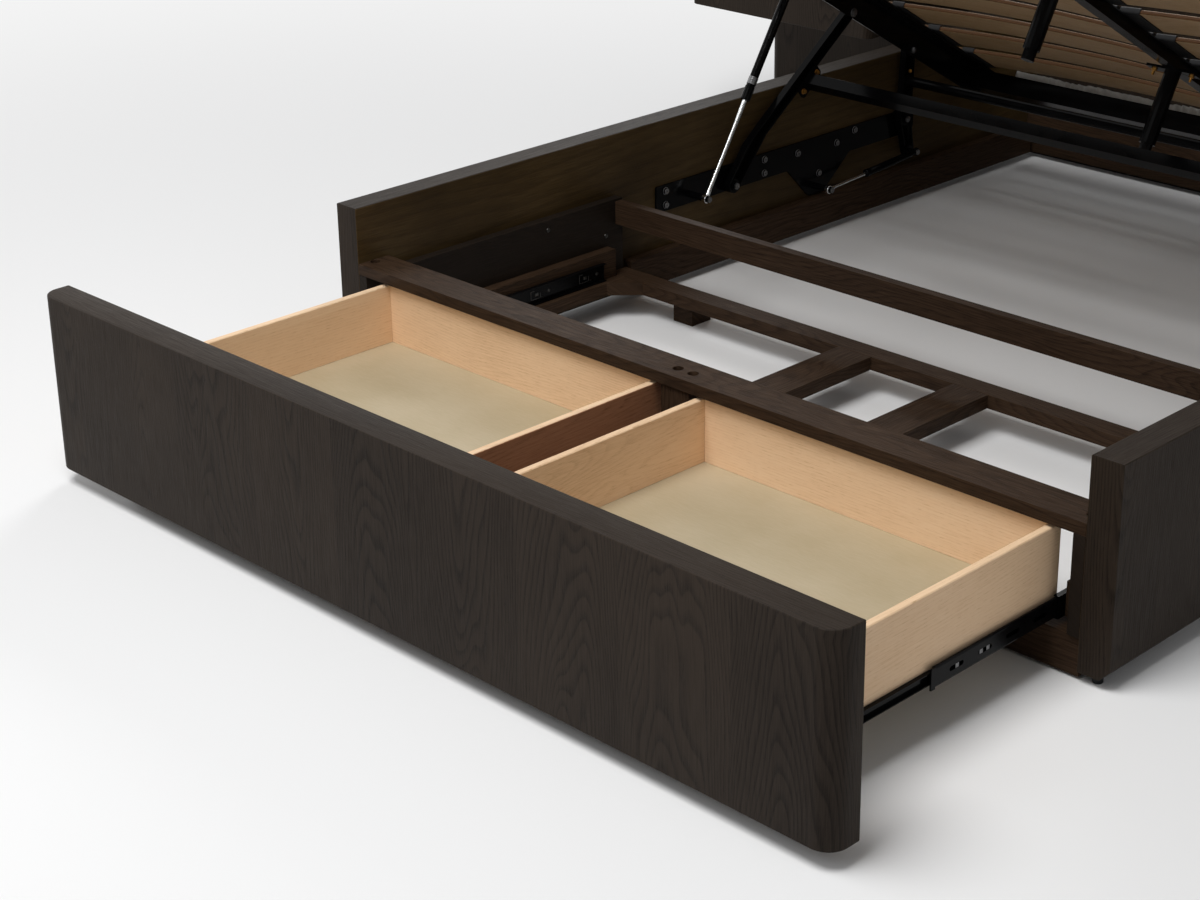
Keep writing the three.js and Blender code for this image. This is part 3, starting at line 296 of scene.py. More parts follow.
class Finish(Nodes):
    """A material with its shader, and with ways to add patterns."""

    def __init__(self, name):
        self.material = bpy.data.materials.new(name)
        super().__init__(self.material)
        self.shader = self.tree.nodes["Principled BSDF"]

    def from_middle(self, value, weight, added, middle=0.5):
        """added + weight * (value - middle)."""
        return self.math("MULTIPLY_ADD", self.math("SUBTRACT", value, middle), weight, added)

    def vector(self, x, y=0.0, z=0.0):
        return self.add("ShaderNodeCombineXYZ", X=x, Y=y, Z=z).outputs[0]

    def split(self, vector):
        """The three parts of a vector, one socket each."""
        return self.add("ShaderNodeSeparateXYZ", Vector=vector).outputs

    def noise(self, vector, scale, detail=3.0, roughness=0.5):
        node = self.add("ShaderNodeTexNoise", Vector=vector, Scale=scale, Detail=detail,
                        Roughness=roughness)
        return node.outputs["Fac"]

    def ramp(self, value, *stops):
        """Colours or greys along a value: each stop is (place, colour)."""
        node = self.add("ShaderNodeValToRGB", Fac=value)
        elements = node.color_ramp.elements
        while len(elements) < len(stops):
            elements.new(1.0)
        for element, (place, colour) in zip(elements, stops):
            element.position = place
            element.color = colour if isinstance(colour, tuple) else (colour, colour, colour, 1)
        return node.outputs["Color"]

    def mix(self, factor, first, second):
        node = self.tree.nodes.new("ShaderNodeMix")
        node.data_type = "RGBA"
        for number, value in ((0, factor), (6, first), (7, second)):
            self.set(node.inputs[number], value)
        return node.outputs[2]

    def bump(self, height, distance, strength):
        node = self.add("ShaderNodeBump", Height=height, Distance=distance, Strength=strength)
        self.set(self.shader.inputs["Normal"], node.outputs[0])

    def surface(self, **inputs):
        for name, value in inputs.items():
            self.set(self.shader.inputs[name.replace("_", " ")], value)
        return self.material

    def upward(self):
        """1 where a face points up or down, 0 on upright faces."""
        steep = self.math("ABSOLUTE", self.split(self.coordinates("Normal"))[2])
        return self.math("GREATER_THAN", steep, FACES_UP)


def grain_along(axis):
    """Coordinates (across, along) of a board whose grain runs along one axis."""
    def coordinates(finish):
        places = finish.split(finish.coordinates())
        others = [places[i] for i in range(3) if i != axis]
        return finish.math("ADD", *others), places[axis]
    return coordinates


def upright_grain(finish):
    """Coordinates with upright grain on the sides of a rail, and grain along Y on its top."""
    x, y, z = finish.split(finish.coordinates())
    up = finish.upward()
    around = finish.math("ADD", x, y)
    across = finish.mix(up, finish.vector(around), finish.vector(x))
    along = finish.mix(up, finish.vector(z), finish.vector(y))
    return finish.split(across)[0], finish.split(along)[0]


def surface_grain(finish):
    """Coordinates (across, along) from the piece's own map."""
    layer = finish.tree.nodes.new("ShaderNodeUVMap")
    layer.uv_map = "grain"
    across, along, _ = finish.split(layer.outputs[0])
    return across, along


# Noise in wood: scales across and along the grain per metre, detail and roughness
WANDER = (9.0, 1.6, 2.0, 0.5)
STREAKS = (620.0, 21.0, 3.0, 0.62)
PORES = (1500.0, 70.0, 1.5, 0.5)
CLOUDS = (6.0, 3.0, 3.0, 0.5)
# How much each pattern lightens the colour
STREAK_SHARE, EARLY_SHARE, PORE_SHARE, LEAF_SHARE = 0.9, -0.18, -0.30, 0.3
WANDER_REACH = 0.09
LEAF_SEED = (0.37, 0.11)
LEAF_SHIFT = 3.0                    # a leaf starts up to this far along the log
HEART_REPEAT = 2.2                  # depths after which the heart comes back
EARLY_WOOD = ((0.0, 1.0), (0.16, 0.7), (0.4, 0.12), (0.88, 0.0), (1.0, 1.0))
EARLY_MEAN = 0.25
LATE_PORES = 0.25                   # depth left of the pores between the early wood
RING_RELIEF = 0.25
PORE_EDGE = ((0.56, 0.0), (0.68, 1.0))
COLOUR_STOPS = (0.1, 0.45, 0.85)
WOOD_RELIEF = {"distance": 0.00025, "strength": 0.5}
WOOD_GLOSS = 0.08


def grain(finish, coordinates, colours, leaf=0.21, ring=0.0035, depth=0.05, taper=0.09, pores=1.0,
          contrast=1.0, mottle=0.35, roughness=(0.42, 0.6), ringed=1.0):
    """Wood cut from a log, as sockets for its colour, roughness and height.

    The distance to the heart is the length of (depth + taper * along, across in the leaf), so its
    even rings draw cathedral arches in the middle of each leaf of veneer and straight lines at its
    edges. Pores are noise stretched along the grain, darkest in the early wood of each ring.
    """
    calc = finish.math
    across, along = coordinates(finish)
    leaves = calc("DIVIDE", across, leaf)
    seed = finish.vector(calc("FLOOR", leaves), *LEAF_SEED)
    tone = finish.add("ShaderNodeTexWhiteNoise", Vector=seed).outputs["Value"]
    from_centre = calc("SUBTRACT", calc("FRACT", leaves), 0.5)
    within = calc("MULTIPLY", from_centre, leaf)
    shift = calc("MULTIPLY", tone, LEAF_SHIFT)

    def stretched(across_scale, along_scale, detail, rough):
        place = finish.vector(calc("MULTIPLY", across, across_scale),
                              calc("MULTIPLY", along, along_scale), shift)
        return finish.noise(place, 1.0, detail, rough)

    wander = calc("MULTIPLY", calc("SUBTRACT", stretched(*WANDER), 0.5), WANDER_REACH)
    heart = calc("MULTIPLY_ADD", calc("ADD", along, shift), taper, depth)
    away = calc("PINGPONG", calc("ADD", heart, wander), HEART_REPEAT * depth)
    square = calc("MULTIPLY_ADD", within, within, calc("MULTIPLY", away, away))
    rings = calc("FRACT", calc("DIVIDE", calc("SQRT", square), ring))
    early = finish.ramp(rings, *EARLY_WOOD)
    streaks = stretched(*STREAKS)
    pore = finish.ramp(stretched(*PORES), *PORE_EDGE)
    in_ring = calc("MULTIPLY_ADD", early, 1 - LATE_PORES, LATE_PORES)
    pore_depth = calc("MULTIPLY", pore, in_ring)
    value = finish.from_middle(streaks, STREAK_SHARE * contrast, 0.5)
    value = finish.from_middle(early, EARLY_SHARE * contrast * ringed, value, EARLY_MEAN)
    value = calc("MULTIPLY_ADD", pore_depth, PORE_SHARE * pores, value)
    value = finish.from_middle(stretched(*CLOUDS), mottle, value)
    value = finish.from_middle(tone, LEAF_SHARE * mottle, value)
    glossy, dull = roughness
    ring_relief = calc("MULTIPLY", early, -RING_RELIEF)
    return {
        "colour": finish.ramp(value, *zip(COLOUR_STOPS, colours)),
        "gloss": finish.ramp(streaks, (0.3, dull), (0.7, glossy)),
        "height": calc("MULTIPLY_ADD", pore_depth, -1.0, ring_relief),
    }


def wood(name, coordinates, colours, gloss=WOOD_GLOSS, **cut):
    """One kind of wood all over a piece."""
    finish = Finish(name)
    look = grain(finish, coordinates, colours, **cut)
    finish.bump(look["height"], **WOOD_RELIEF)
    return finish.surface(Base_Color=look["colour"], Roughness=look["gloss"],
                          Specular_IOR_Level=gloss)


def two_woods(name, near, far, edge):
    """Wood that changes at a distance from the bed's middle: near inside the edge, far outside it; on
    the box sides the near look is painted shade of the gap between the boxes.
    """
    finish = Finish(name)
    inside, outside = (grain(finish, coordinates, colours, **cut)
                       for coordinates, colours, cut in (near, far))
    distance = finish.math("ABSOLUTE", finish.split(finish.coordinates())[0])
    beyond = finish.math("GREATER_THAN", distance, edge)
    heights = (finish.vector(look["height"]) for look in (inside, outside))
    height = finish.split(finish.mix(beyond, *heights))[0]
    finish.bump(height, **WOOD_RELIEF)
    return finish.surface(
        Base_Color=finish.mix(beyond, inside["colour"], outside["colour"]),
        Roughness=finish.mix(beyond, inside["gloss"], outside["gloss"]),
        Specular_IOR_Level=WOOD_GLOSS,
    )


def powder_coat():
    """Black powder coat: a fine orange-peel bump and small changes of gloss."""
    finish = Finish("black_powder_coat")
    places = finish.coordinates()
    peel = finish.noise(places, scale=900.0, detail=2.0)
    wear = finish.noise(places, scale=14.0, detail=4.0)
    colour = finish.ramp(wear, (0.3, srgb(6, 6, 7)), (0.7, srgb(11, 11, 12)))
    gloss = finish.ramp(wear, (0.3, 0.12), (0.7, 0.2))
    finish.bump(peel, distance=0.00004, strength=0.2)
    return finish.surface(Base_Color=colour, Roughness=gloss, Specular_IOR_Level=0.06)


DULL_SHARE = 0.72                   # brightness left in the scratches of metal
DULL_ROUGHNESS = 0.12               # roughness added there


def metal(name, colour, roughness):
    """Bare or plated metal with fine scratches."""
    finish = Finish(name)
    scratches = finish.noise(finish.coordinates(), scale=400.0, detail=4.0, roughness=0.6)
    dull = tuple(DULL_SHARE * part for part in colour[:3]) + (1.0,)
    tone = finish.ramp(scratches, (0.35, dull), (0.6, colour))
    gloss = finish.ramp(scratches, (0.3, roughness + DULL_ROUGHNESS), (0.7, roughness))
    finish.bump(scratches, distance=0.00005, strength=0.3)
    return finish.surface(Base_Color=tone, Roughness=gloss, Metallic=1.0)


def box_panel():
    """Drawer bottom: pale beige faced board with a faint fibre and soft clouds."""
    finish = Finish("beige_panel")
    places = finish.coordinates()
    drawn_out = finish.add("ShaderNodeMapping", Vector=places, Scale=(60, 900, 60)).outputs[0]
    fibre = finish.noise(drawn_out, scale=1.0)
    clouds = finish.noise(places, scale=5.0)
    value = finish.from_middle(fibre, 0.5, clouds)
    colour = finish.ramp(value, (0.3, srgb(174, 159, 128)), (0.7, srgb(188, 174, 146)))
    finish.bump(fibre, distance=0.0001, strength=0.3)
    return finish.surface(Base_Color=colour, Roughness=0.5)


def black_plastic():
    """Moulded black plastic with a fine sparked texture."""
    finish = Finish("black_plastic")
    sparks = finish.noise(finish.coordinates(), scale=1300.0, detail=2.0)
    colour = finish.ramp(sparks, (0.35, srgb(20, 20, 21)), (0.65, srgb(34, 34, 35)))
    finish.bump(sparks, distance=0.0001, strength=0.3)
    return finish.surface(Base_Color=colour, Roughness=0.55, Specular_IOR_Level=0.15)


THREADS = 5200.0                    # radians per metre of the crossed threads


def white_cloth():
    """Woven white cloth: crossed threads in the cloth's own map, with a soft sheen."""
    finish = Finish("woven_white_cloth")
    warp, weft = (finish.math("SINE", finish.math("MULTIPLY", place, THREADS))
                  for place in surface_grain(finish))
    weave = finish.math("MULTIPLY_ADD", finish.math("MULTIPLY", warp, weft), 0.5, 0.5)
    colour = finish.ramp(weave, (0.0, srgb(176, 172, 165)), (1.0, srgb(206, 203, 197)))
    finish.bump(weave, distance=0.0003, strength=0.5)
    return finish.surface(Base_Color=colour, Roughness=0.9, Sheen_Weight=0.3)


PLY_THICKNESS = 0.0015
FACES_ALONG = 0.6                   # share of a normal along the platform that marks a slat's edge
# Ply layers on the long edges, darker than the wood itself: painted shade between the slats
PLY_AND_SHADE_COLOURS = (srgb(60, 39, 22), srgb(82, 55, 32))
# Beech darker than its own pale colour: painted shade of the slats' undersides
SHADED_BEECH_COLOURS = (srgb(130, 101, 70), srgb(168, 138, 102), srgb(192, 165, 131))
BEECH_CUT = dict(leaf=0.4, ring=0.006, pores=0.5, contrast=0.5, mottle=0.3, roughness=(0.35, 0.5))


def laminated_beech():
    """Bent beech plies: grain on the faces in beech darkened by painted shade, and fine brown layers
    on the long edges, darkened further by painted shade between the slats.
    """
    finish = Finish("beech_slat")
    look = grain(finish, surface_grain, SHADED_BEECH_COLOURS, **BEECH_CUT)

    def reach(kind, direction):
        """How far a place or a normal reaches along a direction of the tilted platform."""
        turned_direction = turn_about_x(direction, PLATFORM_TILT, 0).tolist()
        return finish.measure("DOT_PRODUCT", finish.coordinates(kind), turned_direction)

    facing = finish.math("ABSOLUTE", reach("Normal", (0, 1, 0)))
    on_edge = finish.math("GREATER_THAN", facing, FACES_ALONG)
    layers = finish.math("MULTIPLY", reach("Object", (0, 0, 1)), math.pi / PLY_THICKNESS)
    plies = finish.math("MULTIPLY_ADD", finish.math("SINE", layers), 0.5, 0.5)
    # real ply layers, in colours that carry painted shade between the slats
    edge = finish.ramp(plies, (0.3, PLY_AND_SHADE_COLOURS[0]), (0.7, PLY_AND_SHADE_COLOURS[1]))
    finish.bump(look["height"], **WOOD_RELIEF)
    return finish.surface(Base_Color=finish.mix(on_edge, look["colour"], edge),
                          Roughness=look["gloss"], Specular_IOR_Level=0.12)


OAK_COLOURS = (srgb(20, 15, 11), srgb(41, 34, 28), srgb(55, 46, 38))
FRAME_COLOURS = (srgb(27, 19, 12), srgb(50, 37, 27), srgb(72, 55, 41))
BAY_COLOURS = (srgb(16, 13, 10), srgb(30, 24, 19), srgb(44, 36, 30))
INSIDE_COLOURS = (srgb(40, 30, 17), srgb(66, 52, 31), srgb(96, 78, 50))
MAPLE_COLOURS = (srgb(205, 168, 130), srgb(234, 200, 163), srgb(245, 218, 186))
# Reddish darker maple: painted shade on the box sides that face the narrow gap between the two boxes
GAP_SHADE_COLOURS = (srgb(122, 82, 58), srgb(168, 120, 88), srgb(194, 146, 110))
OAK_VENEER = dict(leaf=0.19, ring=0.0046, contrast=0.5, ringed=2.6, mottle=0.45)
RAIL_VENEER = dict(leaf=0.4, ring=0.02, pores=0.3, contrast=0.5, mottle=0.9, roughness=(0.35, 0.5))
BAY_WOOD = dict(leaf=0.3, contrast=0.6, roughness=(0.5, 0.65))
BOX_WOOD = dict(leaf=0.5, ring=0.005, pores=0.9, contrast=0.6, ringed=0.7, mottle=0.5,
                roughness=(0.4, 0.55))
SOLID_OAK = dict(leaf=0.3, depth=0.12, taper=0.03, gloss=0.05)
FACE_MARGIN = 0.0006                # the change of wood lies this far behind a face
BOX_GAP_FACE = abs(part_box("right_box_inner_side")[0].x)

MATERIALS = {
    "oak_panel": wood("oak_panel", surface_grain, OAK_COLOURS, **OAK_VENEER),
    "oak_rail": two_woods("oak_rail", (grain_along(1), INSIDE_COLOURS, RAIL_VENEER),
                          (upright_grain, OAK_COLOURS, OAK_VENEER), inner_half + FACE_MARGIN),
    "frame_across": wood("frame_across", grain_along(0), FRAME_COLOURS, **SOLID_OAK),
    "frame_along": wood("frame_along", grain_along(1), FRAME_COLOURS, **SOLID_OAK),
    "frame_upright": wood("frame_upright", grain_along(2), FRAME_COLOURS, **SOLID_OAK),
    "bay_board": wood("bay_board", grain_along(1), BAY_COLOURS, **BAY_WOOD),
    "maple_across": wood("maple_across", grain_along(0), MAPLE_COLOURS, **BOX_WOOD),
    # box sides within the gap between the boxes take the painted shade, the rest plain maple
    "maple_along": two_woods("maple_along", (grain_along(1), GAP_SHADE_COLOURS, BOX_WOOD),
                             (grain_along(1), MAPLE_COLOURS, BOX_WOOD), BOX_GAP_FACE + FACE_MARGIN),
    "beech_slat": laminated_beech(),
    "panel": box_panel(),
    "powder": powder_coat(),
    "chrome": metal("polished_chrome", srgb(226, 228, 230), 0.08),
    "zinc": metal("zinc_plating", srgb(118, 118, 119), 0.26),
    "dark_zinc": metal("dark_zinc_plating", srgb(74, 73, 71), 0.3),
    "brass": metal("brass", srgb(168, 122, 60), 0.25),
    "plastic": black_plastic(),
    "cloth": white_cloth(),
}


# CAD nodes that keep their own mesh

WELD_DISTANCE = 1e-5
ROUND_ABOVE = math.radians(40)

# Material, radius of the rounded edges, nodes of the middle, and nodes that both sides have
DRESSED = (
    ("frame_across", 0.0008, ("front_cross_rail", "rear_cross_rail", "base_front_rail",
                              "base_mid_rail", "base_head_rail"), ()),
    ("frame_upright", 0.0008, ("centre_divider",), ()),
    ("frame_along", 0.0010, (), ("slide_cleat", "base_member", "base_cross_member",
                                 "plinth_board")),
    ("oak_rail", 0.0006, (), ("side_rail",)),
    ("bay_board", 0.0008, (), ("bay_board",)),
    ("maple_along", 0.0004, (), ("box_outer_side", "box_inner_side")),
    ("maple_across", 0.0004, (), ("box_back", "box_front")),
    ("panel", 0.0004, (), ("box_bottom",)),
    ("powder", 0.0, (), ("slide_channel", "slide_middle", "slide_inner")),
    ("powder", 0.0005, (), ("lift_bracket", "lift_arm", "rear_lever", "platform_side")),
    ("powder", 0.0008, ("front_cross_tube", "rear_cross_tube", "platform_centre_frame"), ()),
)


def dress(node, material, edge):
    """A CAD node gets its material and small round edges."""
    piece = frame["nodes"][node]
    slots = piece.material_slots
    if slots:
        slots[0].material = MATERIALS[material]
    else:
        piece.data.materials.append(MATERIALS[material])
    weld = piece.modifiers.new("weld", "WELD")
    weld.merge_threshold = WELD_DISTANCE
    if edge:
        bevel = piece.modifiers.new("edges", "BEVEL")
        bevel.width = edge
        bevel.segments = 2
        bevel.limit_method = "ANGLE"
        bevel.angle_limit = ROUND_ABOVE


def dress_nodes():
    """Every CAD node that shows gets its finish."""
    for material, edge, middle, sided in DRESSED:
        for node in (*middle, *(f"{side}_{part}" for side, _ in SIDES for part in sided)):
            dress(node, material, edge)


# Panels with rounded corners

FRONT_RADIUS = 0.032
BEDSIDE_RADIUS = 0.020
PANEL_EDGE = 0.002
PANEL_STEPS = 12


def panels():
    """The drawer front, the headboard and the bedside boxes as slabs of veneered oak."""
    for name, node, body, radius in (
        ("oak_drawer_front", "drawer_front", "drawer", FRONT_RADIUS),
        ("oak_headboard", "headboard_panel", "root", FRONT_RADIUS),
        ("oak_left_bedside_box", "left_bedside_box", "root", BEDSIDE_RADIUS),
        ("oak_right_bedside_box", "right_bedside_box", "root", BEDSIDE_RADIUS),
    ):
        low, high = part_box(node)
        radii = (radius, radius, PANEL_EDGE, PANEL_EDGE)
        loop = rounded_loop([(low.x, low.y), (high.x, high.y)], radii, PANEL_STEPS)
        new_piece(name, [slab(loop, low.z, high.z, PANEL_EDGE)], body, "oak_panel",
                  [node])


# Slats

SLAT_WIDTH = 0.098
SLAT_PITCH = 0.138                  # sets how many slats there are; they are then spread evenly
SLAT_THICKNESS = 0.009
SLAT_BOW = 0.012
SLAT_ROUND = 0.003
SLAT_END_GAP = 0.005
SLAT_INSET = 0.004
SLAT_TIP = 0.012                    # end of a slat that its outer sleeve leaves bare
HOLDER_THICKNESS = 0.0035
OUTER_HOLDER_WIDTH = 0.030
INNER_HOLDER_WIDTH = 0.011
HOLDER_CORNER = 0.002
HOLDER_EDGE = 0.0006
SLEEVE_WALL = 0.0022
SLEEVE_LENGTH = 0.042
SLEEVE_ROUND = 0.004


def bowed_bar(x0, x1, y, z, shares, wall, radius, steps):
    """Bar bowed along a parabola: a rounded section carried from x0 to x1, raised by 4 bow s (1 - s).

    Shares s, 0 to 1, give the part of the slat's length that the bar covers, and the wall is how
    far it stands out from the slat all round.
    """
    share = np.linspace(*shares, steps + 1)
    half = np.array([SLAT_WIDTH / 2 + wall, SLAT_THICKNESS / 2 + wall])
    centres, radii, directions = rounded_loop([-half, half], radius, 4)
    section = centres + radii[:, None] * directions
    x = x0 + (x1 - x0) * share
    middle = z + SLAT_THICKNESS / 2 + 4 * SLAT_BOW * share * (1 - share)
    around = y + section[:, 0]
    points = stacked(x[:, None], around, middle[:, None] + section[:, 1])
    uv = stacked(around, np.abs(x)[:, None])
    return surface(points, uv, capped=True)


def slat_decks():
    """Sprung slats in black sleeves, on a holder strip at each side and beside the centre beam."""
    for side, sign in SIDES:
        low, high = platform_box(f"{side}_slat_deck")
        inner, outer = (low[0], high[0]) if sign > 0 else (high[0], low[0])
        span = high[1] - low[1] - 2 * SLAT_END_GAP - SLAT_WIDTH
        count = int(span / SLAT_PITCH) + 1
        first = low[1] + SLAT_END_GAP + SLAT_WIDTH / 2
        top = low[2] + HOLDER_THICKNESS
        x0 = inner + sign * SLAT_INSET / 2
        x1 = outer - sign * SLAT_INSET
        sleeve = SLEEVE_LENGTH / abs(x1 - x0)
        tip = SLAT_TIP / abs(x1 - x0)
        slats = []
        sleeves = []
        for y in first + span / (count - 1) * np.arange(count):
            slats.append(bowed_bar(x0, x1, y, top, (0, 1), 0, SLAT_ROUND, 20))
            for shares in ((0, sleeve), (1 - sleeve, 1 - tip)):
                sleeves.append(bowed_bar(x0, x1, y, top, shares, SLEEVE_WALL, SLEEVE_ROUND, 3))
        strips = []
        for start, width in ((outer, -OUTER_HOLDER_WIDTH), (inner, INNER_HOLDER_WIDTH)):
            edges = sorted((start, start + sign * width))
            corners = [(edges[0], low[1]), (edges[1], high[1])]
            loop = rounded_loop(corners, HOLDER_CORNER, 3)
            strips.append(slab(loop, low[2], top, HOLDER_EDGE))
        for part in slats + sleeves + strips:
            part["points"] = on_platform(part["points"])
        new_piece(f"{side}_slats", slats, "platform", "beech_slat", [f"{side}_slat_deck"])
        new_piece(f"{side}_slat_holders", sleeves + strips, "platform", "plastic")


# Gas struts

SOFT = 0.001                        # small bevel of a turned edge
COLLAR_RADIUS = 0.005
COLLAR_START, COLLAR_END = 0.004, 0.009
ROD_HIDDEN = 0.020                  # rod inside the tube
ROD_PLAY = 0.0004
MOUTH_DEPTH = 0.004
GLAND_LEAD = (0.0015, 0.002)        # bevel at the mouth, across and along
SHOULDER_GAP = 0.018                # end of the tube to the top pin
NECK_RADIUS = 0.0045
EYE = (0.0042, 0.009, 0.005)        # bore, radius and half width
LAP = (0.0, 0.009, 0.003)
BAND_GAP = 0.004                    # gland to the band
BAND_RINGS = 4
BAND_PITCH = 0.004
BAND_RIDGE = (0.0008, 0.0003, 0.0027)       # height, start and end of a ridge
BAND_GROOVE = (0.0002, 0.003, 0.0037)

MAIN_STRUT = dict(kind="strut", tube="cylinder", length=0.288, rod=0.0045, cylinder=0.009,
                  gland=0.010, gland_length=0.030, foot=strut_foot, axis=strut_axis,
                  reach=float(np.linalg.norm(strut_top - strut_foot)))
SMALL_STRUT = dict(kind="small_strut", tube="body", length=0.175, rod=0.0035, cylinder=0.008,
                   gland=0.0086, gland_length=0.014, foot=small_strut_foot, axis=small_strut_axis,
                   reach=float(np.linalg.norm(lever_foot - small_strut_foot)))


def eye_profile(bore, radius, half):
    """Ring round its own middle, as (radius, distance), with small bevels at the rim."""
    rim = radius - SOFT
    return [(bore, half), (bore, -half), (rim, -half), (radius, SOFT - half),
            (radius, half - SOFT), (rim, half), (bore, half)]


def strut_band(cylinder, band):
    """Profile of the ringed band on a cylinder: a ridge and a groove for each ring."""
    rings = [(cylinder - SOFT, band)]
    for start in band + BAND_PITCH * np.arange(BAND_RINGS):
        for height, begin, end in (BAND_RIDGE, BAND_GROOVE):
            rings += [(cylinder + height, start + begin), (cylinder + height, start + end)]
    return rings + [(cylinder - SOFT, band + BAND_PITCH * BAND_RINGS)]


def gas_strut(side, sign, kind, tube, length, rod, cylinder, gland, gland_length, foot, axis, reach):
    """A strut as surfaces of revolution round its axis, with flat eyes at both ends."""
    origin = np.array([sign * strut_x, foot[1], foot[2]])
    across = (1, 0, 0)
    mouth = reach - length
    shoulder = reach - SHOULDER_GAP
    collar_end = COLLAR_END + 2 * rod
    gland_end = mouth + gland_length
    lead_in, lead_along = GLAND_LEAD
    rod_profile = [
        (0, COLLAR_START), (COLLAR_RADIUS, COLLAR_START), (COLLAR_RADIUS, collar_end),
        (rod, collar_end + 2 * SOFT), (rod, mouth + ROD_HIDDEN), (0, mouth + ROD_HIDDEN),
    ]
    tube_profile = [
        (0, mouth + MOUTH_DEPTH), (rod + ROD_PLAY, mouth + MOUTH_DEPTH), (rod + ROD_PLAY, mouth),
        (gland - lead_in, mouth), (gland, mouth + lead_along),
        (gland, gland_end - SOFT), (gland - SOFT, gland_end),
        (cylinder, gland_end + SOFT), (cylinder, shoulder - 3 * SOFT),
        (cylinder - SOFT, shoulder - SOFT), (cylinder - 3 * SOFT, shoulder), (0, shoulder),
    ]
    neck = [(0, shoulder - SOFT), (NECK_RADIUS, shoulder - SOFT), (NECK_RADIUS, reach), (0, reach)]
    rod_node, tube_node = f"{side}_{kind}_rod", f"{side}_{kind}_{tube}"
    rod_body, tube_body = f"{side}_{kind}", f"{side}_{kind}_tube"
    new_piece(f"polished_{rod_node}",
              [turned(rod_profile, origin, axis), turned(eye_profile(*EYE), origin, across)],
              rod_body, "chrome", [rod_node])
    new_piece(f"coated_{tube_node}",
              [turned(tube_profile, origin, axis),
               turned(eye_profile(*LAP), origin + reach * axis, across),
               turned(neck, origin, axis)],
              tube_body, "powder", [tube_node])
    if kind == "strut":
        rings = strut_band(cylinder, gland_end + BAND_GAP)
        new_piece(f"{side}_strut_band", [turned(rings, origin, axis)], tube_body, "zinc")


def gas_struts():
    """The four struts of the lift."""
    for side, sign in SIDES:
        gas_strut(side, sign, **MAIN_STRUT)
        gas_strut(side, sign, **SMALL_STRUT)


# Fasteners and small fittings

SUNK = 0.0004                       # a fastener starts this far inside what it is fixed to
HEX_BEVEL = 0.0008
HEX_TOP = 0.86                      # radius of the top of a head, as a share
HEX_DIMPLE = (0.3, 0.22, 0.0007)    # rim and floor as shares of the radius, and depth
WASHER_EDGE, WASHER_TOP, WASHER_BEVEL = 0.0008, 0.0012, 0.0004
# Steps of a domed screw head, as shares of its radius and height
PAN_DOME = ((1, 0.25), (0.86, 0.75), (0.5, 1), (0.3, 1), (0.2, 0.45), (0, 0.4))

# Hexagon heads: radius, height, and radius of the washer
BRACKET_BOLT = (0.0068, 0.0046, 0.0078)
TUBE_BOLT = (0.0048, 0.006, 0.0062)
PIVOT_BOLT = (0.0075, 0.0048, 0.0098)
# Nuts: radius, height, and radius and reach of the stud
PIVOT_NUT = (0.0072, 0.005, 0.003, 0.0075)
STRUT_NUT = (0.0062, 0.004, 0.0025, 0.006)
LEVER_NUT = (0.0048, 0.0045, 0.0024, 0.0065)
PLATE_NUT = (0.0058, 0.0045, 0.0028, 0.013)
# Screw heads: radius and height
BOARD_SCREW = (0.0046, 0.0024)
CHANNEL_SCREW = (0.0038, 0.0009)


def hex_head(origin, axis, radius, height, washer):
    """Hexagon head with a shallow dimple on a round washer, both turned round the axis."""
    rim, floor, depth = HEX_DIMPLE
    head = [(0, -SUNK), (radius, -SUNK), (radius, height - HEX_BEVEL), (HEX_TOP * radius, height),
            (rim * radius, height), (floor * radius, height - depth), (0, height - depth)]
    ring = [(0, -SUNK), (washer, -SUNK), (washer, WASHER_EDGE),
            (washer - WASHER_BEVEL, WASHER_TOP), (0, WASHER_TOP)]
    return [turned(head, origin, axis, 6), turned(ring, origin, axis, 24)]


def hex_nut(origin, axis, radius, height, stud, reach):
    """Hexagon nut with the rounded end of its stud standing out of it."""
    nut = [(0, -SUNK), (radius, -SUNK), (radius, height - HEX_BEVEL), (HEX_TOP * radius, height),
           (0, height)]
    end = [(0, 0), (stud, 0), (stud, reach - HEX_BEVEL), (stud - HEX_BEVEL, reach), (0, reach)]
    return [turned(nut, origin, axis, 6), turned(end, origin, axis, 12)]


def pan_screw(origin, axis, radius, height):
    """Domed screw head with a small recess."""
    dome = [(across * radius, up * height) for across, up in PAN_DOME]
    return [turned([(0, -SUNK), (radius, -SUNK)] + dome, origin, axis, 16)]


BRACKET_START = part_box("left_lift_bracket")[0].y
BRACKET_LEVELS = (0.1685, 0.1975)   # heights of the two rows of bolts
BRACKET_FOOT_BOLT = 0.026
ARM_BOLT = 0.112
GUSSET_BOLTS = ((-0.057, 0.084), (0.012, 0.026), (0.069, 0.080), (0.128, 0.096))
PIVOT_NUT_INSET = 0.0033            # from the inner face of a link
FOOT_NUT_INSET = 0.0088             # from the middle of a strut, at its foot
TOP_NUT_INSET = 0.0033              # the same, at its top


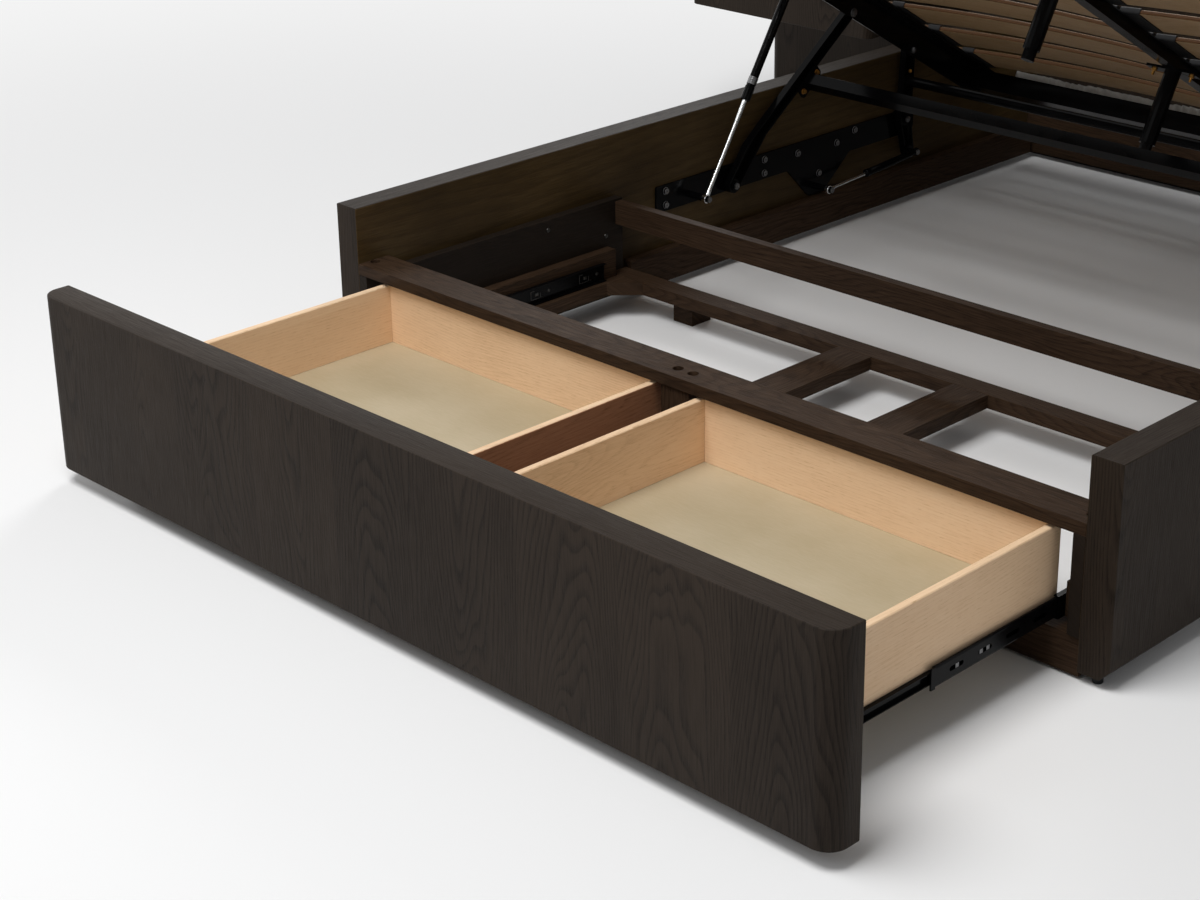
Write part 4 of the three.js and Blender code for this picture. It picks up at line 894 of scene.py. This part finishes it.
def bracket_fasteners():
    """Zinc bolts of the lift brackets, and the nuts of the pins that the brackets carry."""
    places = [(y, z) for y in (BRACKET_START + BRACKET_FOOT_BOLT, arm_pivot[1] + ARM_BOLT)
              for z in BRACKET_LEVELS]
    places += [(small_strut_foot[1] + y, small_strut_foot[2] + z) for y, z in GUSSET_BOLTS]
    for side, sign in SIDES:
        inward = (-sign, 0, 0)
        bolts = []
        for y, z in places:
            bolts += hex_head((sign * bracket_face, y, z), inward, *BRACKET_BOLT)
        new_piece(f"{side}_bracket_bolts", bolts, "root", "zinc")
        nuts = []
        for _, y, z in (arm_pivot, lever_pivot):
            nuts += hex_nut((sign * (link_inner - PIVOT_NUT_INSET), y, z), inward, *PIVOT_NUT)
        for _, y, z in (strut_foot, small_strut_foot):
            nuts += hex_nut((sign * (strut_x - FOOT_NUT_INSET), y, z), inward, *STRUT_NUT)
        new_piece(f"{side}_pivot_nuts", nuts, "root", "zinc")


TUBE_BOLT_INSET = 0.0043
TUBE_BOLT_SPREAD = 0.026
FRONT_TUBE = (0.2836, -0.0082)      # middle of its bolts, along and above the arm
REAR_TUBE = 0.106                   # its nut, along the lever
POST_PLATE = (0.041, 0.054, 0.022)  # its nuts, in the flat platform's frame


def lift_fasteners():
    """Fasteners that travel with the arms, the levers and the platform."""
    tube_bolts, lever_nuts, lever_pins, platform_nuts, plate_nuts = ([] for _ in range(5))
    along, up = FRONT_TUBE
    for _, sign in SIDES:
        inward = (-sign, 0, 0)
        for step in (-TUBE_BOLT_SPREAD, TUBE_BOLT_SPREAD):
            place = (sign * (link_inner - TUBE_BOLT_INSET), along + step, up)
            tube_bolts += hex_head(turn_about_x(place, ARM_ANGLE, arm_pivot), inward, *TUBE_BOLT)
        place = turn_about_x((sign * link_inner, REAR_TUBE, 0), lever_angle, lever_pivot)
        lever_nuts += hex_nut(place, inward, *LEVER_NUT)
        pin_end = sign * (strut_x - TOP_NUT_INSET)
        angle_face = sign * angle_inner
        lever_pins += hex_nut((pin_end, *lever_foot[1:]), inward, *STRUT_NUT)
        platform_nuts += hex_head(on_platform((angle_face, 0, 0)), inward, *PIVOT_BOLT)
        platform_nuts += hex_nut(on_platform((angle_face, LEVER_PIN, 0)), inward, *PIVOT_NUT)
        platform_nuts += hex_nut((pin_end, *strut_top[1:]), inward, *STRUT_NUT)
    new_piece("front_tube_bolts", tube_bolts, "lift_arms", "brass")
    new_piece("lever_tube_nuts", lever_nuts, "rear_levers", "brass")
    new_piece("lever_pin_nuts", lever_pins, "rear_levers", "zinc")
    new_piece("platform_nuts", platform_nuts, "platform", "zinc")
    downward = turn_about_x((0, 0, -1), PLATFORM_TILT, 0)
    out, along, up = POST_PLATE
    for x in (-out, out):
        plate_nuts += hex_nut(on_platform((x, along, up)), downward, *PLATE_NUT)
    new_piece("post_plate_nuts", plate_nuts, "platform", "brass")


# Along the bay from the front of the rails
BOARD_SCREWS = ((0.12, 0.201), (0.439, 0.201), (0.591, 0.152))      # with their heights
CHANNEL_SCREWS = (0.105, 0.262, 0.414, 0.541)
CHANNEL_TABS = (0.055, 0.366, 0.493)
CHANNEL_SHEET = 0.0015
# Bars of a pressed tab: start, end, lower and upper edge, from its place and the slide's level
TAB_BARS = (
    (0, 0.0016, -0.009, 0.009),
    (0, 0.032, -0.009, -0.0074),
    (0, 0.010, 0.0074, 0.009),
    (0.024, 0.0256, -0.009, 0.002),
    (0.012, 0.020, -0.003, 0.003),
)
TAB_CORNER = 0.0004
TAB_SUNK, TAB_PROUD = 0.0005, 0.0008


def bay_fasteners():
    """Screws in the bay boards, and the screws and pressed tabs of the slide channels."""
    board_face = abs(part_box("left_bay_board")[1].x)
    web_face = abs(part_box("left_slide_cleat")[1].x) - SEAT - CHANNEL_SHEET
    level = sum(corner.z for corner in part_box("left_slide_channel")) / 2
    for side, sign in SIDES:
        inward = (-sign, 0, 0)
        screws = []
        for along, height in BOARD_SCREWS:
            screws += pan_screw((sign * board_face, rail_front + along, height), inward, *BOARD_SCREW)
        for along in CHANNEL_SCREWS:
            screws += pan_screw((sign * web_face, rail_front + along, level), inward, *CHANNEL_SCREW)
        new_piece(f"{side}_bay_screws", screws, "root", "dark_zinc")
        tabs = []
        faces = [sign * (web_face + out) for out in (TAB_SUNK, -TAB_PROUD)]
        for start in (rail_front + along for along in CHANNEL_TABS):
            for y0, y1, z0, z1 in TAB_BARS:
                corners = [(start + y0, level + z0), (start + y1, level + z1)]
                tabs.append(pressed(corners, TAB_CORNER, 2, faces))
        new_piece(f"{side}_channel_tabs", tabs, "root", "dark_zinc")


SLOT_END = 0.046
SLOT_PITCH = 0.062
END_STOP = 0.009
MIDDLE_WEB = 0.003
CATCHES = ((0, 0.002), (1, -0.008), (1, 0.007))     # slot, and place from its middle
CATCH_HALF = np.array([0.0035, 0.0037])
CATCH_CORNER = 0.0006
CATCH_BACK, CATCH_FRONT = 0.0003, 0.0012            # from the web of the middle member


def slide_catches():
    """Pressed metal lances that show in the first two slots of the middle members."""
    web = abs(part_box("left_slide_cleat")[1].x) - MIDDLE_WEB
    for side, sign in SIDES:
        low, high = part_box(f"{side}_slide_middle")
        lances = []
        faces = [sign * (web - depth) for depth in (CATCH_BACK, CATCH_FRONT)]
        for slot, shift in CATCHES:
            along = low.y + END_STOP + SLOT_END + slot * SLOT_PITCH + shift
            centre = np.array([along, (low.z + high.z) / 2])
            corners = [centre - CATCH_HALF, centre + CATCH_HALF]
            lances.append(pressed(corners, CATCH_CORNER, 3, faces))
        new_piece(f"{side}_slide_catches", lances, f"{side}_slide", "zinc")


PAD_RADIUS = 0.008
PAD_BEVEL = 0.0012
PAD_FROM_INSIDE, PAD_FROM_FRONT = 0.022, 0.020


def rail_pads():
    """Black pads under the front ends of the side rails."""
    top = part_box("left_side_rail")[0].z + SUNK
    profile = [(0, 0), (PAD_RADIUS - PAD_BEVEL, 0), (PAD_RADIUS, PAD_BEVEL), (PAD_RADIUS, top),
               (0, top)]
    pads = []
    for _, sign in SIDES:
        place = (sign * (inner_half + PAD_FROM_INSIDE), rail_front + PAD_FROM_FRONT, 0)
        pads.append(turned(profile, place, (0, 0, 1)))
    new_piece("rail_pads", pads, "root", "plastic")


# Cloth edge at the head of the platform

CLOTH_COLUMNS, CLOTH_ROWS = 1400, 9
CLOTH_PITCH = 0.021
CLOTH_SWING = 0.0045
CLOTH_THICKNESS = 0.0009
CLOTH_CLEARANCE = 0.0006            # above its foot and below its top
CLOTH_MAP_HEIGHT = 0.016
CLOTH_SHARP = 80


def head_cloth():
    """Gathered strip: its middle line swings to and fro along X, more at the top than at the foot.

    The gathers are a sine of x whose pitch, swing and height change slowly by longer sines.
    """
    low, high = platform_box("head_edge_cloth")
    x = np.linspace(low[0], high[0], CLOTH_COLUMNS)
    rise = np.linspace(0, 1, CLOTH_ROWS)[:, None]
    uneven = 1.3 * np.sin(x * 37) + 0.9 * np.sin(x * 91 + 1)
    phase = 2 * math.pi * x / CLOTH_PITCH + uneven
    swing = CLOTH_SWING * (0.7 + 0.3 * np.sin(x * 23))
    lean = 0.55 + 0.45 * rise
    y = (low[1] + high[1]) / 2 + swing * lean * np.sin(phase + 0.5 * rise)
    room = high[2] - low[2] - 2 * CLOTH_CLEARANCE
    top = room * (0.88 + 0.12 * np.sin(x * 41) * np.cos(x * 13))
    points = stacked(x, y, low[2] + CLOTH_CLEARANCE + rise * top)
    length = run_length(points[CLOTH_ROWS // 2])
    sheet = surface(on_platform(points), stacked(length, rise * CLOTH_MAP_HEIGHT))
    piece = new_piece("gathered_head_cloth", [sheet], "platform", "cloth",
                      ["head_edge_cloth"], CLOTH_SHARP)
    thick = piece.modifiers.new("thickness", "SOLIDIFY")
    thick.thickness = CLOTH_THICKNESS
    thick.offset = 0


# Camera, floor and light

PHOTO_WIDTH, PHOTO_HEIGHT = 1200, 900
SENSOR = 36.0
FOCAL_PIXELS = 2340.2059
CENTRE_X, CENTRE_Y = 640, 390
CAMERA_PLACE = (2.33474, -3.15669, 1.60022)
CAMERA_TURN = (1.85030541, 0.752379158, -0.516603792)


def camera():
    """A camera at the photograph's place; its turn is a rotation vector from bed to picture."""
    data = bpy.data.cameras.new("camera")
    data.sensor_width = SENSOR
    data.lens = FOCAL_PIXELS * SENSOR / PHOTO_WIDTH
    data.shift_x = (PHOTO_WIDTH / 2 - CENTRE_X) / PHOTO_WIDTH
    data.shift_y = (CENTRE_Y - PHOTO_HEIGHT / 2) / PHOTO_WIDTH
    turn = Vector(CAMERA_TURN)
    right, down, ahead = Matrix.Rotation(turn.length, 3, turn.normalized())
    axes = Matrix((right, -down, -ahead)).transposed()
    viewer = placed("camera", data)
    viewer.matrix_world = Matrix.Translation(CAMERA_PLACE) @ axes.to_4x4()
    bpy.context.scene.camera = viewer


FLOOR_REACH = 14.0
FLOOR_TONE = (0.905, 0.905, 0.905, 1)       # as the camera and reflections see it far away
FLOOR_PAINT = (0.88, 0.88, 0.88, 1)         # as it takes light and shadow
GLOW_START = 1.3                            # distances over which the one turns into the other
GLOW_FULL = 4.2
WORLD_TINT = (0.97, 0.98, 1.0, 1)
WORLD_STRENGTH = 0.18

# Place, target, width and power
LAMPS = {
    "top_front": ((0.0, -2.6, 4.4), (0.0, -0.6, 0.2), 2.6, 166),
    "back_left": ((-3.2, 3.6, 3.6), (0.0, 0.0, 0.2), 2.2, 95),
    "left": ((-5.2, -2.2, 2.0), (0.0, -0.4, 0.2), 2.0, 35),
    "right": ((5.0, -1.0, 3.2), (0.0, -0.4, 0.2), 2.6, 12),
    "front": ((0.6, -5.0, 3.4), (0.0, -0.6, 0.2), 2.4, 30),
}


def seen_share(nodes):
    """1 for rays that come from the camera, a mirror or through glass."""
    rays = nodes.add("ShaderNodeLightPath").outputs
    seen = nodes.math("MAXIMUM", rays["Is Camera Ray"], rays["Is Glossy Ray"])
    return nodes.math("MAXIMUM", seen, rays["Is Transmission Ray"])


def blend(nodes, output, share, plain, white):
    """The tree's output is the plain shader, and the white one by the share."""
    mix = nodes.add("ShaderNodeMixShader", share, plain.outputs[0], white.outputs[0])
    nodes.add(output, Surface=mix.outputs[0])


def world_light():
    """Even light from all round, seen as white."""
    world = bpy.data.worlds.new("studio")
    bpy.context.scene.world = world
    nodes = Nodes(world)
    nodes.tree.nodes.clear()
    plain = nodes.add("ShaderNodeBackground", Color=WORLD_TINT, Strength=WORLD_STRENGTH)
    white = nodes.add("ShaderNodeBackground", Color=FLOOR_TONE)
    blend(nodes, "ShaderNodeOutputWorld", seen_share(nodes), plain, white)


def pale_floor():
    """A pale floor that keeps the bed's shadow and runs into the white far from the bed."""
    mesh = bpy.data.meshes.new("floor")
    corners = FLOOR_REACH * np.array([[-1, -1, 0], [1, -1, 0], [1, 1, 0], [-1, 1, 0]])
    mesh.from_pydata(corners, [], [(0, 1, 2, 3)])
    ground = placed("floor", mesh)
    material = bpy.data.materials.new("pale_floor")
    mesh.materials.append(material)
    nodes = Nodes(material)
    nodes.tree.nodes.clear()
    matte = nodes.add("ShaderNodeBsdfDiffuse", Color=FLOOR_PAINT)
    glow = nodes.add("ShaderNodeEmission", Color=FLOOR_TONE)
    away = nodes.add("ShaderNodeMapRange", Value=nodes.measure("LENGTH", nodes.coordinates()),
                     From_Min=GLOW_START, From_Max=GLOW_FULL)
    away.interpolation_type = "SMOOTHSTEP"
    share = nodes.math("MULTIPLY", seen_share(nodes), away.outputs[0])
    blend(nodes, "ShaderNodeOutputMaterial", share, matte, glow)


def lamps():
    """Soft round lamps at a plain level."""
    for name, (place, target, width, power) in LAMPS.items():
        data = bpy.data.lights.new(name, "AREA")
        data.shape = "DISK"
        data.size = width
        data.energy = power
        lamp = placed(name, data)
        lamp.location = place
        aim = Vector(target) - Vector(place)
        lamp.rotation_euler = aim.to_track_quat("-Z", "Y").to_euler()


camera()
world_light()
pale_floor()
lamps()
bpy.context.scene.view_settings.view_transform = "Standard"
dress_nodes()
panels()
slat_decks()
gas_struts()
bracket_fasteners()
lift_fasteners()
bay_fasteners()
slide_catches()
rail_pads()
head_cloth()
